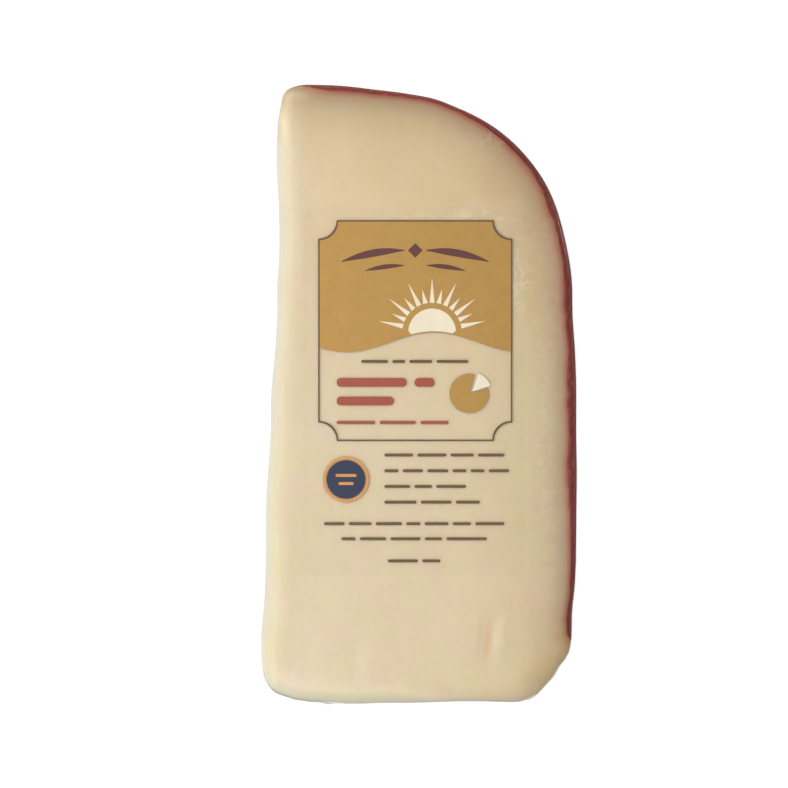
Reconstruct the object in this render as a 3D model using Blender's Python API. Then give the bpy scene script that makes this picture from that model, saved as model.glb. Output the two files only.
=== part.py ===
"""A wedge of red-rinded cheese, shrink-wrapped in clear film, with a clear label stuck on its upper cut face.

The wedge is a slice of half a wheel. Its two big faces are radial cuts that meet on the wheel's axis, so the solid
is one radial section of the wheel, turned about that axis through the wedge's angle. It lies on one of the cuts.
The wheel's axis runs along X and the rim points to +Y. The section is drawn in two coordinates: across runs along
the wheel's axis from its mid height, and out is the distance from that axis. Metres, +Z up, origin under the
middle of the wedge.
"""

import math

import bmesh
import bpy
import numpy as np
from mathutils import Vector

MM = 0.001

# The wheel that the wedge was cut from. Its shoulder is a superellipse from the flat face to mid height.
WHEEL_RADIUS = 170.0 * MM
WHEEL_HALF_HEIGHT = 50.1 * MM
SHOULDER_DEPTH = 50.2 * MM
SHOULDER_POWER = 3.0

# The cuts: the two radial ones, the one at mid height, which slants a little, and the one across the tip.
WEDGE_ANGLE = math.radians(12.5)
TIP_CUT_OUT = 63.8 * MM
MID_CUT_ACROSS_AT_RIM = -1.2 * MM
MID_CUT_ACROSS_AT_TIP = -4.0 * MM

# A shallow waist in the mid cut, and the flat face, which draws in towards the tip cut and ends in a shoulder.
WAIST_DEPTH = 0.9 * MM
WAIST_OUT = 136.4 * MM
WAIST_SPREAD = 13.0 * MM
FLAT_FACE_BEND_OUT = 88.0 * MM
TIP_SHOULDER = Vector((49.3, 71.4)) * MM
TIP_CHAMFER_ACROSS = 42.6 * MM

# Rounding of the section's corners.
MID_RIM_CORNER = 4.6 * MM
MID_TIP_CORNER = 6.3 * MM
TIP_SHOULDER_CORNER = 3.0 * MM
TIP_CHAMFER_CORNER = 7.0 * MM

# Rounding of the edges round both radial cuts. The film pulls the soft edges rounder than the firm rind's.
TIP_EDGE = 4.2 * MM
TIP_SHOULDER_EDGE = 2.4 * MM
MID_EDGE = 2.2 * MM
RIND_EDGE = 1.3 * MM

# The label on the upper cut.
LABEL_ACROSS = 22.1 * MM
LABEL_OUT = 117.3 * MM
LABEL_SIZE = Vector((38.1, 63.5)) * MM
LABEL_CORNER = 2.0 * MM
LABEL_THICKNESS = 0.2 * MM
LABEL_GAP = 0.3 * MM

# Facets.
SHOULDER_STEPS = 36
LONG_STEPS = 36
FACE_STEPS = 8
CHAMFER_STEPS = 4
CORNER_STEPS = 8
TURN_STEPS = 3
EDGE_SEGMENTS = 5
LABEL_CORNER_SEGMENTS = 5


def clear_scene():
    """Removes every object that the scene opened with."""
    for obj in list(bpy.data.objects):
        bpy.data.objects.remove(obj, do_unlink=True)


def plain_material(name, colour, roughness):
    """A Principled material of one colour, not metal."""
    material = bpy.data.materials.new(name)
    material.use_nodes = True
    shader = material.node_tree.nodes["Principled BSDF"]
    shader.inputs["Base Color"].default_value = (*colour, 1.0)
    shader.inputs["Roughness"].default_value = roughness
    shader.inputs["Metallic"].default_value = 0.0
    return material


def add_object(name, shape, material, parent):
    """Turns a bmesh into a smooth-shaded object under parent, and frees the bmesh."""
    mesh = bpy.data.meshes.new(name)
    shape.to_mesh(mesh)
    shape.free()
    mesh.shade_smooth()
    mesh.set_sharp_from_angle(angle=math.radians(40))
    mesh.materials.append(material)
    obj = bpy.data.objects.new(name, mesh)
    obj.parent = parent
    bpy.context.scene.collection.objects.link(obj)
    return obj


def straight(start, end, steps, start_edge, end_edge):
    """Points from start up to end, without end, each with the edge rounding that holds there."""
    shares = [i / steps for i in range(steps)]
    return [(start.lerp(end, t), start_edge + (end_edge - start_edge) * t) for t in shares]


def corner_arc(before, corner, after, radius):
    """Points of the arc that rounds the corner between the lines to before and to after."""
    back = (before - corner).normalized()
    ahead = (after - corner).normalized()
    half_angle = back.angle(ahead) / 2
    centre = corner + (back + ahead).normalized() * (radius / math.sin(half_angle))
    spoke = corner + back * (radius / math.tan(half_angle)) - centre
    turn = math.copysign(math.pi - 2 * half_angle, back.x * ahead.y - back.y * ahead.x)
    start = math.atan2(spoke.y, spoke.x)
    angles = [start - turn * i / CORNER_STEPS for i in range(CORNER_STEPS + 1)]
    return [centre + Vector((math.cos(a), math.sin(a))) * radius for a in angles]


def along_arc(arc, start_edge, end_edge):
    """The arc's points without the last, each with the edge rounding that holds there."""
    return [(p, start_edge + (end_edge - start_edge) * i / CORNER_STEPS) for i, p in enumerate(arc[:-1])]


def shoulder_point(angle):
    """A point of the wheel's shoulder: angle 0 is on the flat face, a quarter turn is at mid height."""
    across = WHEEL_HALF_HEIGHT * math.cos(angle) ** (2 / SHOULDER_POWER)
    out = WHEEL_RADIUS - SHOULDER_DEPTH * (1 - math.sin(angle) ** (2 / SHOULDER_POWER))
    return Vector((across, out))


def shoulder():
    """Points spread evenly over the shoulder, from the flat face to where the corner at mid height begins."""
    fine = [shoulder_point(math.radians(0.05 * i)) for i in range(1801)]
    fine = [p for p in fine if p.x >= MID_CUT_ACROSS_AT_RIM + MID_RIM_CORNER]
    lengths = np.cumsum([0.0] + [(b - a).length for a, b in zip(fine, fine[1:])])
    wanted = np.linspace(0.0, lengths[-1], SHOULDER_STEPS, endpoint=False)
    return [fine[int(np.searchsorted(lengths, w))] for w in wanted]


def with_waist(point):
    """A point of the mid cut, moved in by the waist's depth there."""
    share = math.exp(-(((point.y - WAIST_OUT) / WAIST_SPREAD) ** 2) / 2)
    return point + Vector((WAIST_DEPTH * share, 0.0))


def section():
    """The radial section, anticlockwise from its tip corner at mid height, as points with their edge rounding."""
    mid_tip = Vector((MID_CUT_ACROSS_AT_TIP, TIP_CUT_OUT))
    mid_rim = Vector((MID_CUT_ACROSS_AT_RIM, WHEEL_RADIUS))
    chamfer = Vector((TIP_CHAMFER_ACROSS, TIP_CUT_OUT))
    bend = Vector((WHEEL_HALF_HEIGHT, FLAT_FACE_BEND_OUT))
    flat_end = shoulder_point(0.0)
    rim_end = Vector((MID_CUT_ACROSS_AT_RIM + MID_RIM_CORNER, WHEEL_RADIUS))

    mid_tip_arc = corner_arc(mid_rim, mid_tip, chamfer, MID_TIP_CORNER)
    chamfer_arc = corner_arc(mid_tip, chamfer, TIP_SHOULDER, TIP_CHAMFER_CORNER)
    tip_shoulder_arc = corner_arc(chamfer, TIP_SHOULDER, bend, TIP_SHOULDER_CORNER)
    mid_rim_arc = corner_arc(rim_end, mid_rim, mid_tip, MID_RIM_CORNER)

    outline = along_arc(mid_tip_arc, MID_EDGE, TIP_EDGE)
    outline += straight(mid_tip_arc[-1], chamfer_arc[0], LONG_STEPS // 2, TIP_EDGE, TIP_EDGE)
    outline += along_arc(chamfer_arc, TIP_EDGE, TIP_EDGE)
    outline += straight(chamfer_arc[-1], tip_shoulder_arc[0], CHAMFER_STEPS, TIP_EDGE, TIP_SHOULDER_EDGE)
    outline += along_arc(tip_shoulder_arc, TIP_SHOULDER_EDGE, TIP_SHOULDER_EDGE)
    outline += straight(tip_shoulder_arc[-1], bend, FACE_STEPS, TIP_SHOULDER_EDGE, RIND_EDGE)
    outline += straight(bend, flat_end, FACE_STEPS, RIND_EDGE, RIND_EDGE)
    outline += [(p, RIND_EDGE) for p in shoulder()]
    outline += along_arc(mid_rim_arc, RIND_EDGE, MID_EDGE)
    mid_cut = straight(mid_rim_arc[-1], mid_tip_arc[0], LONG_STEPS, MID_EDGE, MID_EDGE)
    outline += [(with_waist(p), edge) for p, edge in mid_cut]
    return outline


def turned(place, angle):
    """The place of the section in space, once the section is turned about the wheel's axis."""
    return Vector((place.x, place.y * math.cos(angle), place.y * math.sin(angle)))


def inward_directions(points):
    """The direction into the section at each of its points."""
    along = [after - before for before, after in zip(points[-1:] + points[:-1], points[1:] + points[:1])]
    return [Vector((-a.y, a.x)).normalized() for a in along]


def edge_ring(outline, slope, upper):
    """A ring of one rounded edge: slope 0 is where it meets its cut, a quarter turn is where it meets the side."""
    ring = []
    for (point, edge), inward in zip(outline, inward_directions([p for p, _ in outline])):
        place = point + inward * edge * (1 - math.sin(slope))
        angle = math.asin(edge * (1 - math.cos(slope)) / place.y)
        ring.append(turned(place, WEDGE_ANGLE - angle if upper else angle))
    return ring


def side_ring(outline, share):
    """A ring of the side, at a share of the way from the lower rounded edge to the upper one."""
    ring = []
    for point, edge in outline:
        angle = math.asin(edge / point.y)
        ring.append(turned(point, angle + (WEDGE_ANGLE - 2 * angle) * share))
    return ring


def make_wedge(parent):
    """The wedge in its film: rings from the lower cut over both rounded edges to the upper cut, closed by the cuts."""
    outline = section()
    slopes = [math.radians(90) * i / EDGE_SEGMENTS for i in range(EDGE_SEGMENTS + 1)]
    places = [edge_ring(outline, slope, upper=False) for slope in slopes]
    places += [side_ring(outline, i / TURN_STEPS) for i in range(1, TURN_STEPS)]
    places += [edge_ring(outline, slope, upper=True) for slope in reversed(slopes)]

    shape = bmesh.new()
    rings = [[shape.verts.new(place) for place in ring] for ring in places]
    for low, high in zip(rings, rings[1:]):
        for i in range(len(outline)):
            shape.faces.new((low[i - 1], low[i], high[i], high[i - 1]))
    shape.faces.new(rings[0])
    shape.faces.new(rings[-1])
    bmesh.ops.recalc_face_normals(shape, faces=shape.faces[:])
    return add_object("wedge", shape, plain_material("cheese", (0.72, 0.55, 0.35), 0.4), parent)


def make_label(parent):
    """The label: a thin plate with round corners, lying just clear of the upper cut."""
    shape = bmesh.new()
    bmesh.ops.create_cube(shape, size=1.0)
    bmesh.ops.scale(shape, vec=(*LABEL_SIZE, LABEL_THICKNESS), verts=shape.verts[:])
    upright = [e for e in shape.edges if abs(e.verts[0].co.z - e.verts[1].co.z) > LABEL_THICKNESS / 2]
    bmesh.ops.bevel(
        shape, geom=upright, offset=LABEL_CORNER, segments=LABEL_CORNER_SEGMENTS, profile=0.5, affect="EDGES"
    )
    label = add_object("label", shape, plain_material("clear_label", (0.62, 0.45, 0.22), 0.3), parent)
    label.location = (LABEL_ACROSS, LABEL_OUT, LABEL_GAP + LABEL_THICKNESS / 2)
    return label


def stand_on_origin(pack, wedge):
    """Moves the pack so that the middle of the wedge's box is over the origin."""
    corners = [Vector(corner) for corner in wedge.bound_box]
    pack.location.x = -(min(c.x for c in corners) + max(c.x for c in corners)) / 2
    pack.location.y = -(min(c.y for c in corners) + max(c.y for c in corners)) / 2


def add_empty(name, parent):
    """An empty that carries the pieces of the pack."""
    empty = bpy.data.objects.new(name, None)
    empty.parent = parent
    bpy.context.scene.collection.objects.link(empty)
    return empty


def main():
    """Builds the pack."""
    clear_scene()
    pack = add_empty("pack", None)
    upper_cut = add_empty("upper_cut", pack)
    upper_cut.rotation_euler.x = WEDGE_ANGLE
    wedge = make_wedge(pack)
    make_label(upper_cut)
    stand_on_origin(pack, wedge)


main()
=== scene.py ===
"""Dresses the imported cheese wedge: its paste, its rind, the film shrunk round it, and its clear label.

Everything is placed by the radial section of the wheel that the wedge was cut from. In that section
across runs along the wheel's axis from its mid height, and out is the distance from that axis. The wedge
is the section turned about the axis, from the lower cut at no turn to the upper cut at the full turn.
Sizes are in metres.
"""

import logging
import math
from dataclasses import dataclass, replace
from enum import Enum
from typing import ClassVar, Iterable, Sequence

import bpy
import numpy as np
from mathutils import Matrix, Vector
from mathutils.geometry import delaunay_2d_cdt
from mathutils.kdtree import KDTree


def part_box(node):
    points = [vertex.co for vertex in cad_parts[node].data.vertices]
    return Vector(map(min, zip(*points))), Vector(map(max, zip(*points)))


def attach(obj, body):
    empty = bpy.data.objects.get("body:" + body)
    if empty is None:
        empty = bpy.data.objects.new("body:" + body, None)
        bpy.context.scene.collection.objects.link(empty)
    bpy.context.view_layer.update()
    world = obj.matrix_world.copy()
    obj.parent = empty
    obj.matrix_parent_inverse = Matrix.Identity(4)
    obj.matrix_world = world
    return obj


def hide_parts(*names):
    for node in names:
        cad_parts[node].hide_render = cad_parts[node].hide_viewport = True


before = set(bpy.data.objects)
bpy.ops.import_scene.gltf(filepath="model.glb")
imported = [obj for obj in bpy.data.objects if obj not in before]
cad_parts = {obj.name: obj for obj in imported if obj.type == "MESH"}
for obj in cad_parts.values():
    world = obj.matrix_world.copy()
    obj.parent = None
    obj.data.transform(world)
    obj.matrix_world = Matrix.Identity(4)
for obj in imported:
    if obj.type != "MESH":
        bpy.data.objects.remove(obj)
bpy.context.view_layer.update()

MM = 0.001
PHOTO_PIXELS = 788
PIXEL = 0.172 * MM
BODY = "root"
TURN = 2.0 * math.pi
QUARTER = 0.5 * math.pi
CORNER_STEPS = np.linspace(0.0, QUARTER, 7)
CIRCLE_POINTS = 40
WEDGE_ANGLE = math.radians(12.5)
LOG = logging.getLogger("cheese_wedge")

Pair = tuple[float, float]
Row = tuple[np.ndarray, ...]
Colour = tuple[float, float, float, float]
Socket = bpy.types.NodeSocket
WHITE: Colour = (1.0, 1.0, 1.0, 1.0)


class Slot(Enum):
    """The record's material slots."""

    CHEESE = "cheese"
    RIND = "rind"
    FILM = "film"
    LABEL = "label"


class Ink(Enum):
    """The label's printing inks, each with its place in the order of printing."""

    GOLD = 1
    WHITE = 2
    BROWN = 3
    MAROON = 4
    RED = 5
    NAVY = 6
    ORANGE = 7


def mm(*sizes: float) -> tuple[float, ...]:
    """Sizes that are given in millimetres."""
    return tuple(size * MM for size in sizes)


def paint(red: float, green: float, blue: float) -> Colour:
    """Turns a screen colour into linear light.

    Args:
        red, green, blue: the colour as a screen shows it, from 0 to 255.

    Returns:
        The linear colour with full alpha.
    """
    shares = (np.array((red, green, blue)) / 255.0).astype(float)
    linear = np.where(shares <= 0.04045, shares / 12.92, ((shares + 0.055) / 1.055) ** 2.4)
    return (*(float(v) for v in linear), 1.0)


def ease(value: np.ndarray, low: float, high: float) -> np.ndarray:
    """Climbs smoothly from 0 where value is low to 1 where it is high."""
    share = np.clip((value - low) / (high - low), 0.0, 1.0)
    return share * share * (3.0 - 2.0 * share)


def bell(value: np.ndarray, width: float) -> np.ndarray:
    """A bell curve of the given standard deviation, 1 at value 0."""
    return np.exp(-((value / width) ** 2) / 2.0)


def unit(vectors: np.ndarray) -> np.ndarray:
    """The vectors of the last axis, each at length 1."""
    return vectors / np.linalg.norm(vectors, axis=-1, keepdims=True)


def gaps_to(line: np.ndarray, flat: np.ndarray) -> np.ndarray:
    """How far places are from the nearest point of a line.

    Args:
        line: the line's points, close together.
        flat: the places, in the same plane.

    Returns:
        The distances.
    """
    tree = KDTree(len(line))
    for number, (x, y) in enumerate(line.tolist()):
        tree.insert((x, y, 0.0), number)
    tree.balance()
    found = [tree.find((x, y, 0.0))[2] for x, y in flat.reshape(-1, 2).tolist()]
    return np.array(found).reshape(flat.shape[:-1])


@dataclass(frozen=True)
class Outline:
    """A closed run of points round the section, anticlockwise, with what holds at each point.

    Attributes:
        points: places in the section, across and out.
        outward: directions out of the section.
        rounding: radius of the edge between the side and each cut.
        rind: how wide the rind shows on a cut, 0 where there is none.
        length: distance along the run from its first point.
        total: length of the whole run.
    """

    points: np.ndarray
    outward: np.ndarray
    rounding: np.ndarray
    rind: np.ndarray
    length: np.ndarray
    total: float

    def at(self, lengths: np.ndarray) -> "Outline":
        """The outline at chosen distances along it.

        Args:
            lengths: the distances, which may pass the end of the run.

        Returns:
            An outline of one point for each distance.
        """

        def read(values: np.ndarray) -> np.ndarray:
            """The values at the distances."""
            return np.interp(lengths, self.length, values, period=self.total)

        points = np.stack((read(self.points[:, 0]), read(self.points[:, 1])), axis=-1)
        outward = unit(np.stack((read(self.outward[:, 0]), read(self.outward[:, 1])), axis=-1))
        return Outline(points, outward, read(self.rounding), read(self.rind), lengths, self.total)

    def gap(self, flat: np.ndarray) -> np.ndarray:
        """How far places in the section are from the outline.

        Args:
            flat: the places.

        Returns:
            The distances.
        """
        return gaps_to(self.points, flat)

    def nearest(self, across: float, out: float) -> float:
        """Distance along the run of the point nearest to a place in the section."""
        gaps = np.hypot(self.points[:, 0] - across, self.points[:, 1] - out)
        return float(self.length[int(np.argmin(gaps))])


class FromRows:
    """A record that can be made in numbers, from rows of values of which the first are lengths."""

    LENGTHS: ClassVar[int] = 4

    @classmethod
    def rows(cls, *rows: tuple[float, ...]) -> tuple:
        """Makes one record from each row.

        Args:
            rows: each record's values in order, of which the first LENGTHS are in millimetres.

        Returns:
            The records.
        """
        return tuple(cls(*mm(*row[: cls.LENGTHS]), *row[cls.LENGTHS :]) for row in rows)


@dataclass(frozen=True)
class Nudge(FromRows):
    """A small push of the section's outline, positive outward, centred on a place in the section."""

    across: float
    out: float
    push: float
    spread: float


@dataclass(frozen=True)
class RindWidth(FromRows):
    """How wide the rind shows at a place of the outline."""

    across: float
    out: float
    width: float


@dataclass(frozen=True)
class Section:
    """The radial section of the wheel that the wedge is cut to, outside its film."""

    wheel_radius: float = 170.0 * MM
    half_height: float = 50.1 * MM
    shoulder_depth: float = 50.2 * MM
    shoulder_power: float = 3.0
    tip_cut_out: float = 63.8 * MM
    mid_cut_at_rim: float = -1.2 * MM
    mid_cut_at_tip: float = -4.0 * MM
    waist_depth: float = 0.9 * MM
    waist_out: float = 136.4 * MM
    waist_spread: float = 13.0 * MM
    flat_face_bend_out: float = 88.0 * MM
    tip_shoulder: Pair = mm(49.3, 71.4)
    tip_chamfer_across: float = 42.6 * MM
    mid_rim_corner: float = 4.6 * MM
    mid_tip_corner: float = 6.3 * MM
    tip_shoulder_corner: float = 3.0 * MM
    tip_chamfer_corner: float = 7.0 * MM
    tip_edge: float = 4.2 * MM
    tip_shoulder_edge: float = 2.4 * MM
    mid_edge: float = 2.2 * MM
    rind_edge: float = 1.3 * MM
    spacing: float = 0.1 * MM
    edge_blend: float = 1.2 * MM
    nudges: tuple[Nudge, ...] = Nudge.rows(
        (-1.4, 157.0, 0.36, 4.0),
        (-0.9, 166.3, -0.42, 1.1),
        (0.3, 169.1, 0.22, 0.9),
        (-1.4, 135.8, 0.30, 2.6),
        (-2.3, 116.6, 0.28, 3.2),
        (-3.2, 99.0, 0.36, 4.8),
        (-3.7, 85.0, -0.12, 4.0),
        (-4.0, 74.2, 0.52, 3.8),
        (-2.9, 67.0, 0.14, 1.8),
        (0.2, 64.6, -0.50, 1.5),
        (2.6, 64.0, -0.16, 1.0),
        (11.3, 63.8, 0.42, 3.4),
        (22.0, 63.8, 0.24, 9.0),
        (15.5, 169.4, -0.22, 3.2),
        (25.8, 167.4, 0.30, 2.4),
        (31.0, 165.5, 0.09, 2.6),
        (43.5, 153.0, 0.13, 8.0),
        (49.9, 130.9, -0.26, 3.2),
        (50.1, 112.0, 0.20, 7.0),
        (50.1, 99.5, 0.13, 8.5),
        (50.1, 92.5, 0.38, 4.4),
        (50.0, 79.5, -0.30, 2.4),
        (48.4, 70.8, -0.52, 1.5),
    )
    rind_widths: tuple[RindWidth, ...] = RindWidth.rows(
        (49.2, 74.2, 0.0),
        (49.4, 75.3, 0.85),
        (49.7, 78.0, 1.05),
        (50.0, 81.2, 0.72),
        (50.1, 85.0, 0.98),
        (50.1, 90.0, 1.38),
        (50.1, 105.0, 1.66),
        (50.1, 120.0, 1.56),
        (48.8, 140.0, 1.4),
        (42.0, 155.0, 1.15),
        (30.0, 164.0, 1.0),
        (20.0, 168.0, 0.9),
        (13.0, 169.3, 0.95),
        (8.0, 169.9, 1.05),
        (5.2, 170.0, 0.75),
        (4.0, 170.0, 0.35),
        (2.6, 170.0, 0.0),
    )
    rind_unevenness: float = 0.045
    rind_waves: int = 12
    rind_wavelengths: Pair = mm(3.0, 24.0)
    rind_seed: int = 23
    corner_share: float = 0.3

    def shoulder_point(self, angles: np.ndarray) -> np.ndarray:
        """Points of the wheel's shoulder: angle 0 is on the flat face, a quarter turn is at mid height."""
        across = self.half_height * np.cos(angles) ** (2.0 / self.shoulder_power)
        drop = 1.0 - np.sin(angles) ** (2.0 / self.shoulder_power)
        return np.stack((across, self.wheel_radius - self.shoulder_depth * drop), axis=-1)

    def corner_arc(
        self, before: np.ndarray, corner: np.ndarray, after: np.ndarray, radius: float
    ) -> np.ndarray:
        """Rounds one corner of the section.

        Args:
            before, after: places on the two lines that meet in the corner.
            corner: where they meet.
            radius: radius of the arc.

        Returns:
            The arc's points, in order.
        """
        back, ahead = unit(before - corner), unit(after - corner)
        half_angle = math.acos(float(back @ ahead)) / 2.0
        centre = corner + unit(back + ahead) * (radius / math.sin(half_angle))
        spoke = corner + back * (radius / math.tan(half_angle)) - centre
        turn = math.copysign(math.pi - 2.0 * half_angle, back[0] * ahead[1] - back[1] * ahead[0])
        start = math.atan2(spoke[1], spoke[0])
        count = max(8, math.ceil(radius * abs(turn) / self.spacing))
        angles = start - turn * np.arange(count + 1) / count
        return centre + radius * np.stack((np.cos(angles), np.sin(angles)), axis=-1)

    def line(self, start: np.ndarray, end: np.ndarray) -> np.ndarray:
        """Points of a straight run, close together."""
        count = max(2, math.ceil(float(np.linalg.norm(end - start)) / self.spacing))
        return start + (end - start) * np.linspace(0.0, 1.0, count + 1)[:, None]

    def outline(self) -> Outline:
        """The section's whole outline, anticlockwise from the corner between the tip cut and the mid cut.

        Returns:
            The outline, evenly spaced, with its edge rounding and its rind.
        """
        mid_tip = np.array((self.mid_cut_at_tip, self.tip_cut_out))
        mid_rim = np.array((self.mid_cut_at_rim, self.wheel_radius))
        chamfer = np.array((self.tip_chamfer_across, self.tip_cut_out))
        tip_shoulder = np.array(self.tip_shoulder)
        bend = np.array((self.half_height, self.flat_face_bend_out))
        flat_end = self.shoulder_point(np.array(0.0))
        rim_end = np.array((self.mid_cut_at_rim + self.mid_rim_corner, self.wheel_radius))

        mid_tip_arc = self.corner_arc(mid_rim, mid_tip, chamfer, self.mid_tip_corner)
        chamfer_arc = self.corner_arc(mid_tip, chamfer, tip_shoulder, self.tip_chamfer_corner)
        shoulder_arc = self.corner_arc(chamfer, tip_shoulder, bend, self.tip_shoulder_corner)
        mid_rim_arc = self.corner_arc(rim_end, mid_rim, mid_tip, self.mid_rim_corner)
        rim = self.shoulder_point(np.radians(np.arange(0.0, 90.001, 0.02)))
        mid_cut = self.line(mid_rim_arc[-1], mid_tip_arc[0])
        mid_cut[:, 0] += self.waist_depth * bell(mid_cut[:, 1] - self.waist_out, self.waist_spread)

        runs = (
            (mid_tip_arc, self.mid_edge, self.tip_edge),
            (self.line(mid_tip_arc[-1], chamfer_arc[0]), self.tip_edge, self.tip_edge),
            (chamfer_arc, self.tip_edge, self.tip_edge),
            (self.line(chamfer_arc[-1], shoulder_arc[0]), self.tip_edge, self.tip_shoulder_edge),
            (shoulder_arc, self.tip_shoulder_edge, self.tip_shoulder_edge),
            (self.line(shoulder_arc[-1], bend), self.tip_shoulder_edge, self.rind_edge),
            (self.line(bend, flat_end), self.rind_edge, self.rind_edge),
            (rim[rim[:, 0] >= rim_end[0]], self.rind_edge, self.rind_edge),
            (mid_rim_arc, self.rind_edge, self.mid_edge),
            (mid_cut, self.mid_edge, self.mid_edge),
        )
        points = np.concatenate([run[:-1] for run, _, _ in runs])
        rounding = np.concatenate([np.linspace(a, b, len(run))[:-1] for run, a, b in runs])
        plain = self.measured(points, rounding, np.zeros(len(points)))
        even = plain.at(np.arange(0.0, plain.total, self.spacing))
        points = even.points.copy()
        blended = self.blend(even.rounding)
        for nudge in self.nudges:
            gap = np.hypot(points[:, 0] - nudge.across, points[:, 1] - nudge.out)
            points += even.outward * (nudge.push * bell(gap, nudge.spread))[:, None]
        bare = self.measured(points, blended, even.rind)
        return replace(bare, rind=self.rind_along(bare))

    def blend(self, values: np.ndarray) -> np.ndarray:
        """Evens out values that lie one spacing apart round the outline."""
        reach = round(3.0 * self.edge_blend / self.spacing)
        weights = bell(np.arange(-reach, reach + 1) * self.spacing, self.edge_blend)
        around = np.concatenate((values[-reach:], values, values[:reach]))
        return np.convolve(around, weights / weights.sum(), mode="valid")

    def measured(self, points: np.ndarray, rounding: np.ndarray, rind: np.ndarray) -> Outline:
        """Measures a closed run of points and finds its outward directions.

        Args:
            points: the points, anticlockwise.
            rounding, rind: what holds at each point.

        Returns:
            The outline.
        """
        steps = np.linalg.norm(np.roll(points, -1, axis=0) - points, axis=1)
        length = np.concatenate(((0.0,), np.cumsum(steps)))
        along = np.roll(points, -3, axis=0) - np.roll(points, 3, axis=0)
        outward = unit(np.stack((along[:, 1], -along[:, 0]), axis=-1))
        return Outline(points, outward, rounding, rind, length[:-1], float(length[-1]))

    def rind_along(self, outline: Outline) -> np.ndarray:
        """How wide the rind shows at each point of an outline, with its unevenness.

        Args:
            outline: the outline without its rind.

        Returns:
            The widths.
        """
        lengths = [outline.nearest(station.across, station.out) for station in self.rind_widths]
        widths = [station.width for station in self.rind_widths]
        width = np.interp(outline.length, lengths, widths, left=0.0, right=0.0)
        rng = np.random.default_rng(self.rind_seed)
        waves = np.zeros_like(width)
        for _ in range(self.rind_waves):
            wavelength, phase = rng.uniform(*self.rind_wavelengths), rng.uniform(0.0, TURN)
            waves += np.sin(TURN * outline.length / wavelength + phase)
        return width * (1.0 + self.rind_unevenness * waves / math.sqrt(self.rind_waves / 2.0))

    def corners(self, outline: Outline) -> list[float]:
        """Distances along an outline of the four corners that its grid is stretched between."""
        shoulder = self.shoulder_point(np.radians(np.array(45.0)))
        tip_in, rim_in = (self.corner_share * size for size in (self.mid_tip_corner, self.mid_rim_corner))
        across, out = self.tip_shoulder
        places = (
            (self.mid_cut_at_tip + tip_in, self.tip_cut_out + tip_in),
            ((self.tip_chamfer_across + across) / 2, (self.tip_cut_out + out) / 2),
            (float(shoulder[0]), float(shoulder[1])),
            (self.mid_cut_at_rim + rim_in, self.wheel_radius - rim_in),
        )
        return [outline.nearest(*place) for place in places]


@dataclass(frozen=True)
class Space:
    """Where the section lies in the frame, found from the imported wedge's box."""

    wedge_angle: float
    shift: Pair

    @classmethod
    def of_node(cls, section: Section, node: str, wedge_angle: float) -> "Space":
        """Finds the place from a node of the frame.

        Args:
            section: the wedge's section.
            node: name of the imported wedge.
            wedge_angle: the wedge's whole turn, in radians.

        Returns:
            The place.
        """
        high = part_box(node)[1]
        reach = section.wheel_radius * math.cos(math.asin(section.rind_edge / section.wheel_radius))
        return cls(wedge_angle, (high.x - section.half_height, high.y - reach))

    def place(self, flat: np.ndarray, turn: np.ndarray) -> np.ndarray:
        """Turns places in the section to places in the frame.

        Args:
            flat: across and out, on the last axis.
            turn: how far each is turned about the wheel's axis, in radians.

        Returns:
            The places in the frame.
        """
        across, out = flat[..., 0], flat[..., 1]
        turn = np.broadcast_to(turn, across.shape)
        places = (across + self.shift[0], out * np.cos(turn) + self.shift[1], out * np.sin(turn))
        return np.stack(places, axis=-1)

    def direction(self, flat: np.ndarray, turn: np.ndarray) -> np.ndarray:
        """Turns directions in the section to directions in the frame."""
        turn = np.broadcast_to(turn, flat[..., 0].shape)
        return np.stack((flat[..., 0], flat[..., 1] * np.cos(turn), flat[..., 1] * np.sin(turn)), axis=-1)

    def cut_gap(self, flat: np.ndarray, share: np.ndarray) -> np.ndarray:
        """How far places at shares of the turn lie from the nearer cut, round the wheel's axis."""
        return np.minimum(share, 1.0 - share) * self.wedge_angle * flat[..., 1]

    def cut_normal(self, upper: bool) -> np.ndarray:
        """The direction out of the wedge on one of its cuts."""
        if upper:
            return np.array((0.0, -math.sin(self.wedge_angle), math.cos(self.wedge_angle)))
        return np.array((0.0, 0.0, -1.0))


@dataclass(frozen=True)
class Dent(FromRows):
    """A pressed-in place of the upper cut, an ellipse that leans from the out direction."""

    across: float
    out: float
    half_width: float
    half_length: float
    depth: float
    lean: float = 0.0

    def share(self, flat: np.ndarray) -> np.ndarray:
        """How much of the dent holds at places in the section, 1 in its middle."""
        x, y = flat[..., 0] - self.across, flat[..., 1] - self.out
        wide = x * math.cos(self.lean) + y * math.sin(self.lean)
        long = y * math.cos(self.lean) - x * math.sin(self.lean)
        return np.exp(-((wide / self.half_width) ** 2) - (long / self.half_length) ** 2)


@dataclass(frozen=True)
class Crease:
    """A fine raised fold of the film on the upper cut, straight between two places of the section."""

    start: Pair
    end: Pair
    height: float
    width: float

    def rise(self, flat: np.ndarray) -> np.ndarray:
        """How far the film stands up at places in the section."""
        start, along = np.array(self.start), np.array(self.end) - np.array(self.start)
        share = np.clip(((flat - start) @ along) / (along @ along), 0.0, 1.0)
        gap = np.linalg.norm(flat - start - share[..., None] * along, axis=-1)
        return self.height * bell(gap, self.width / 2.0) * np.sin(math.pi * (0.08 + 0.84 * share))


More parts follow.
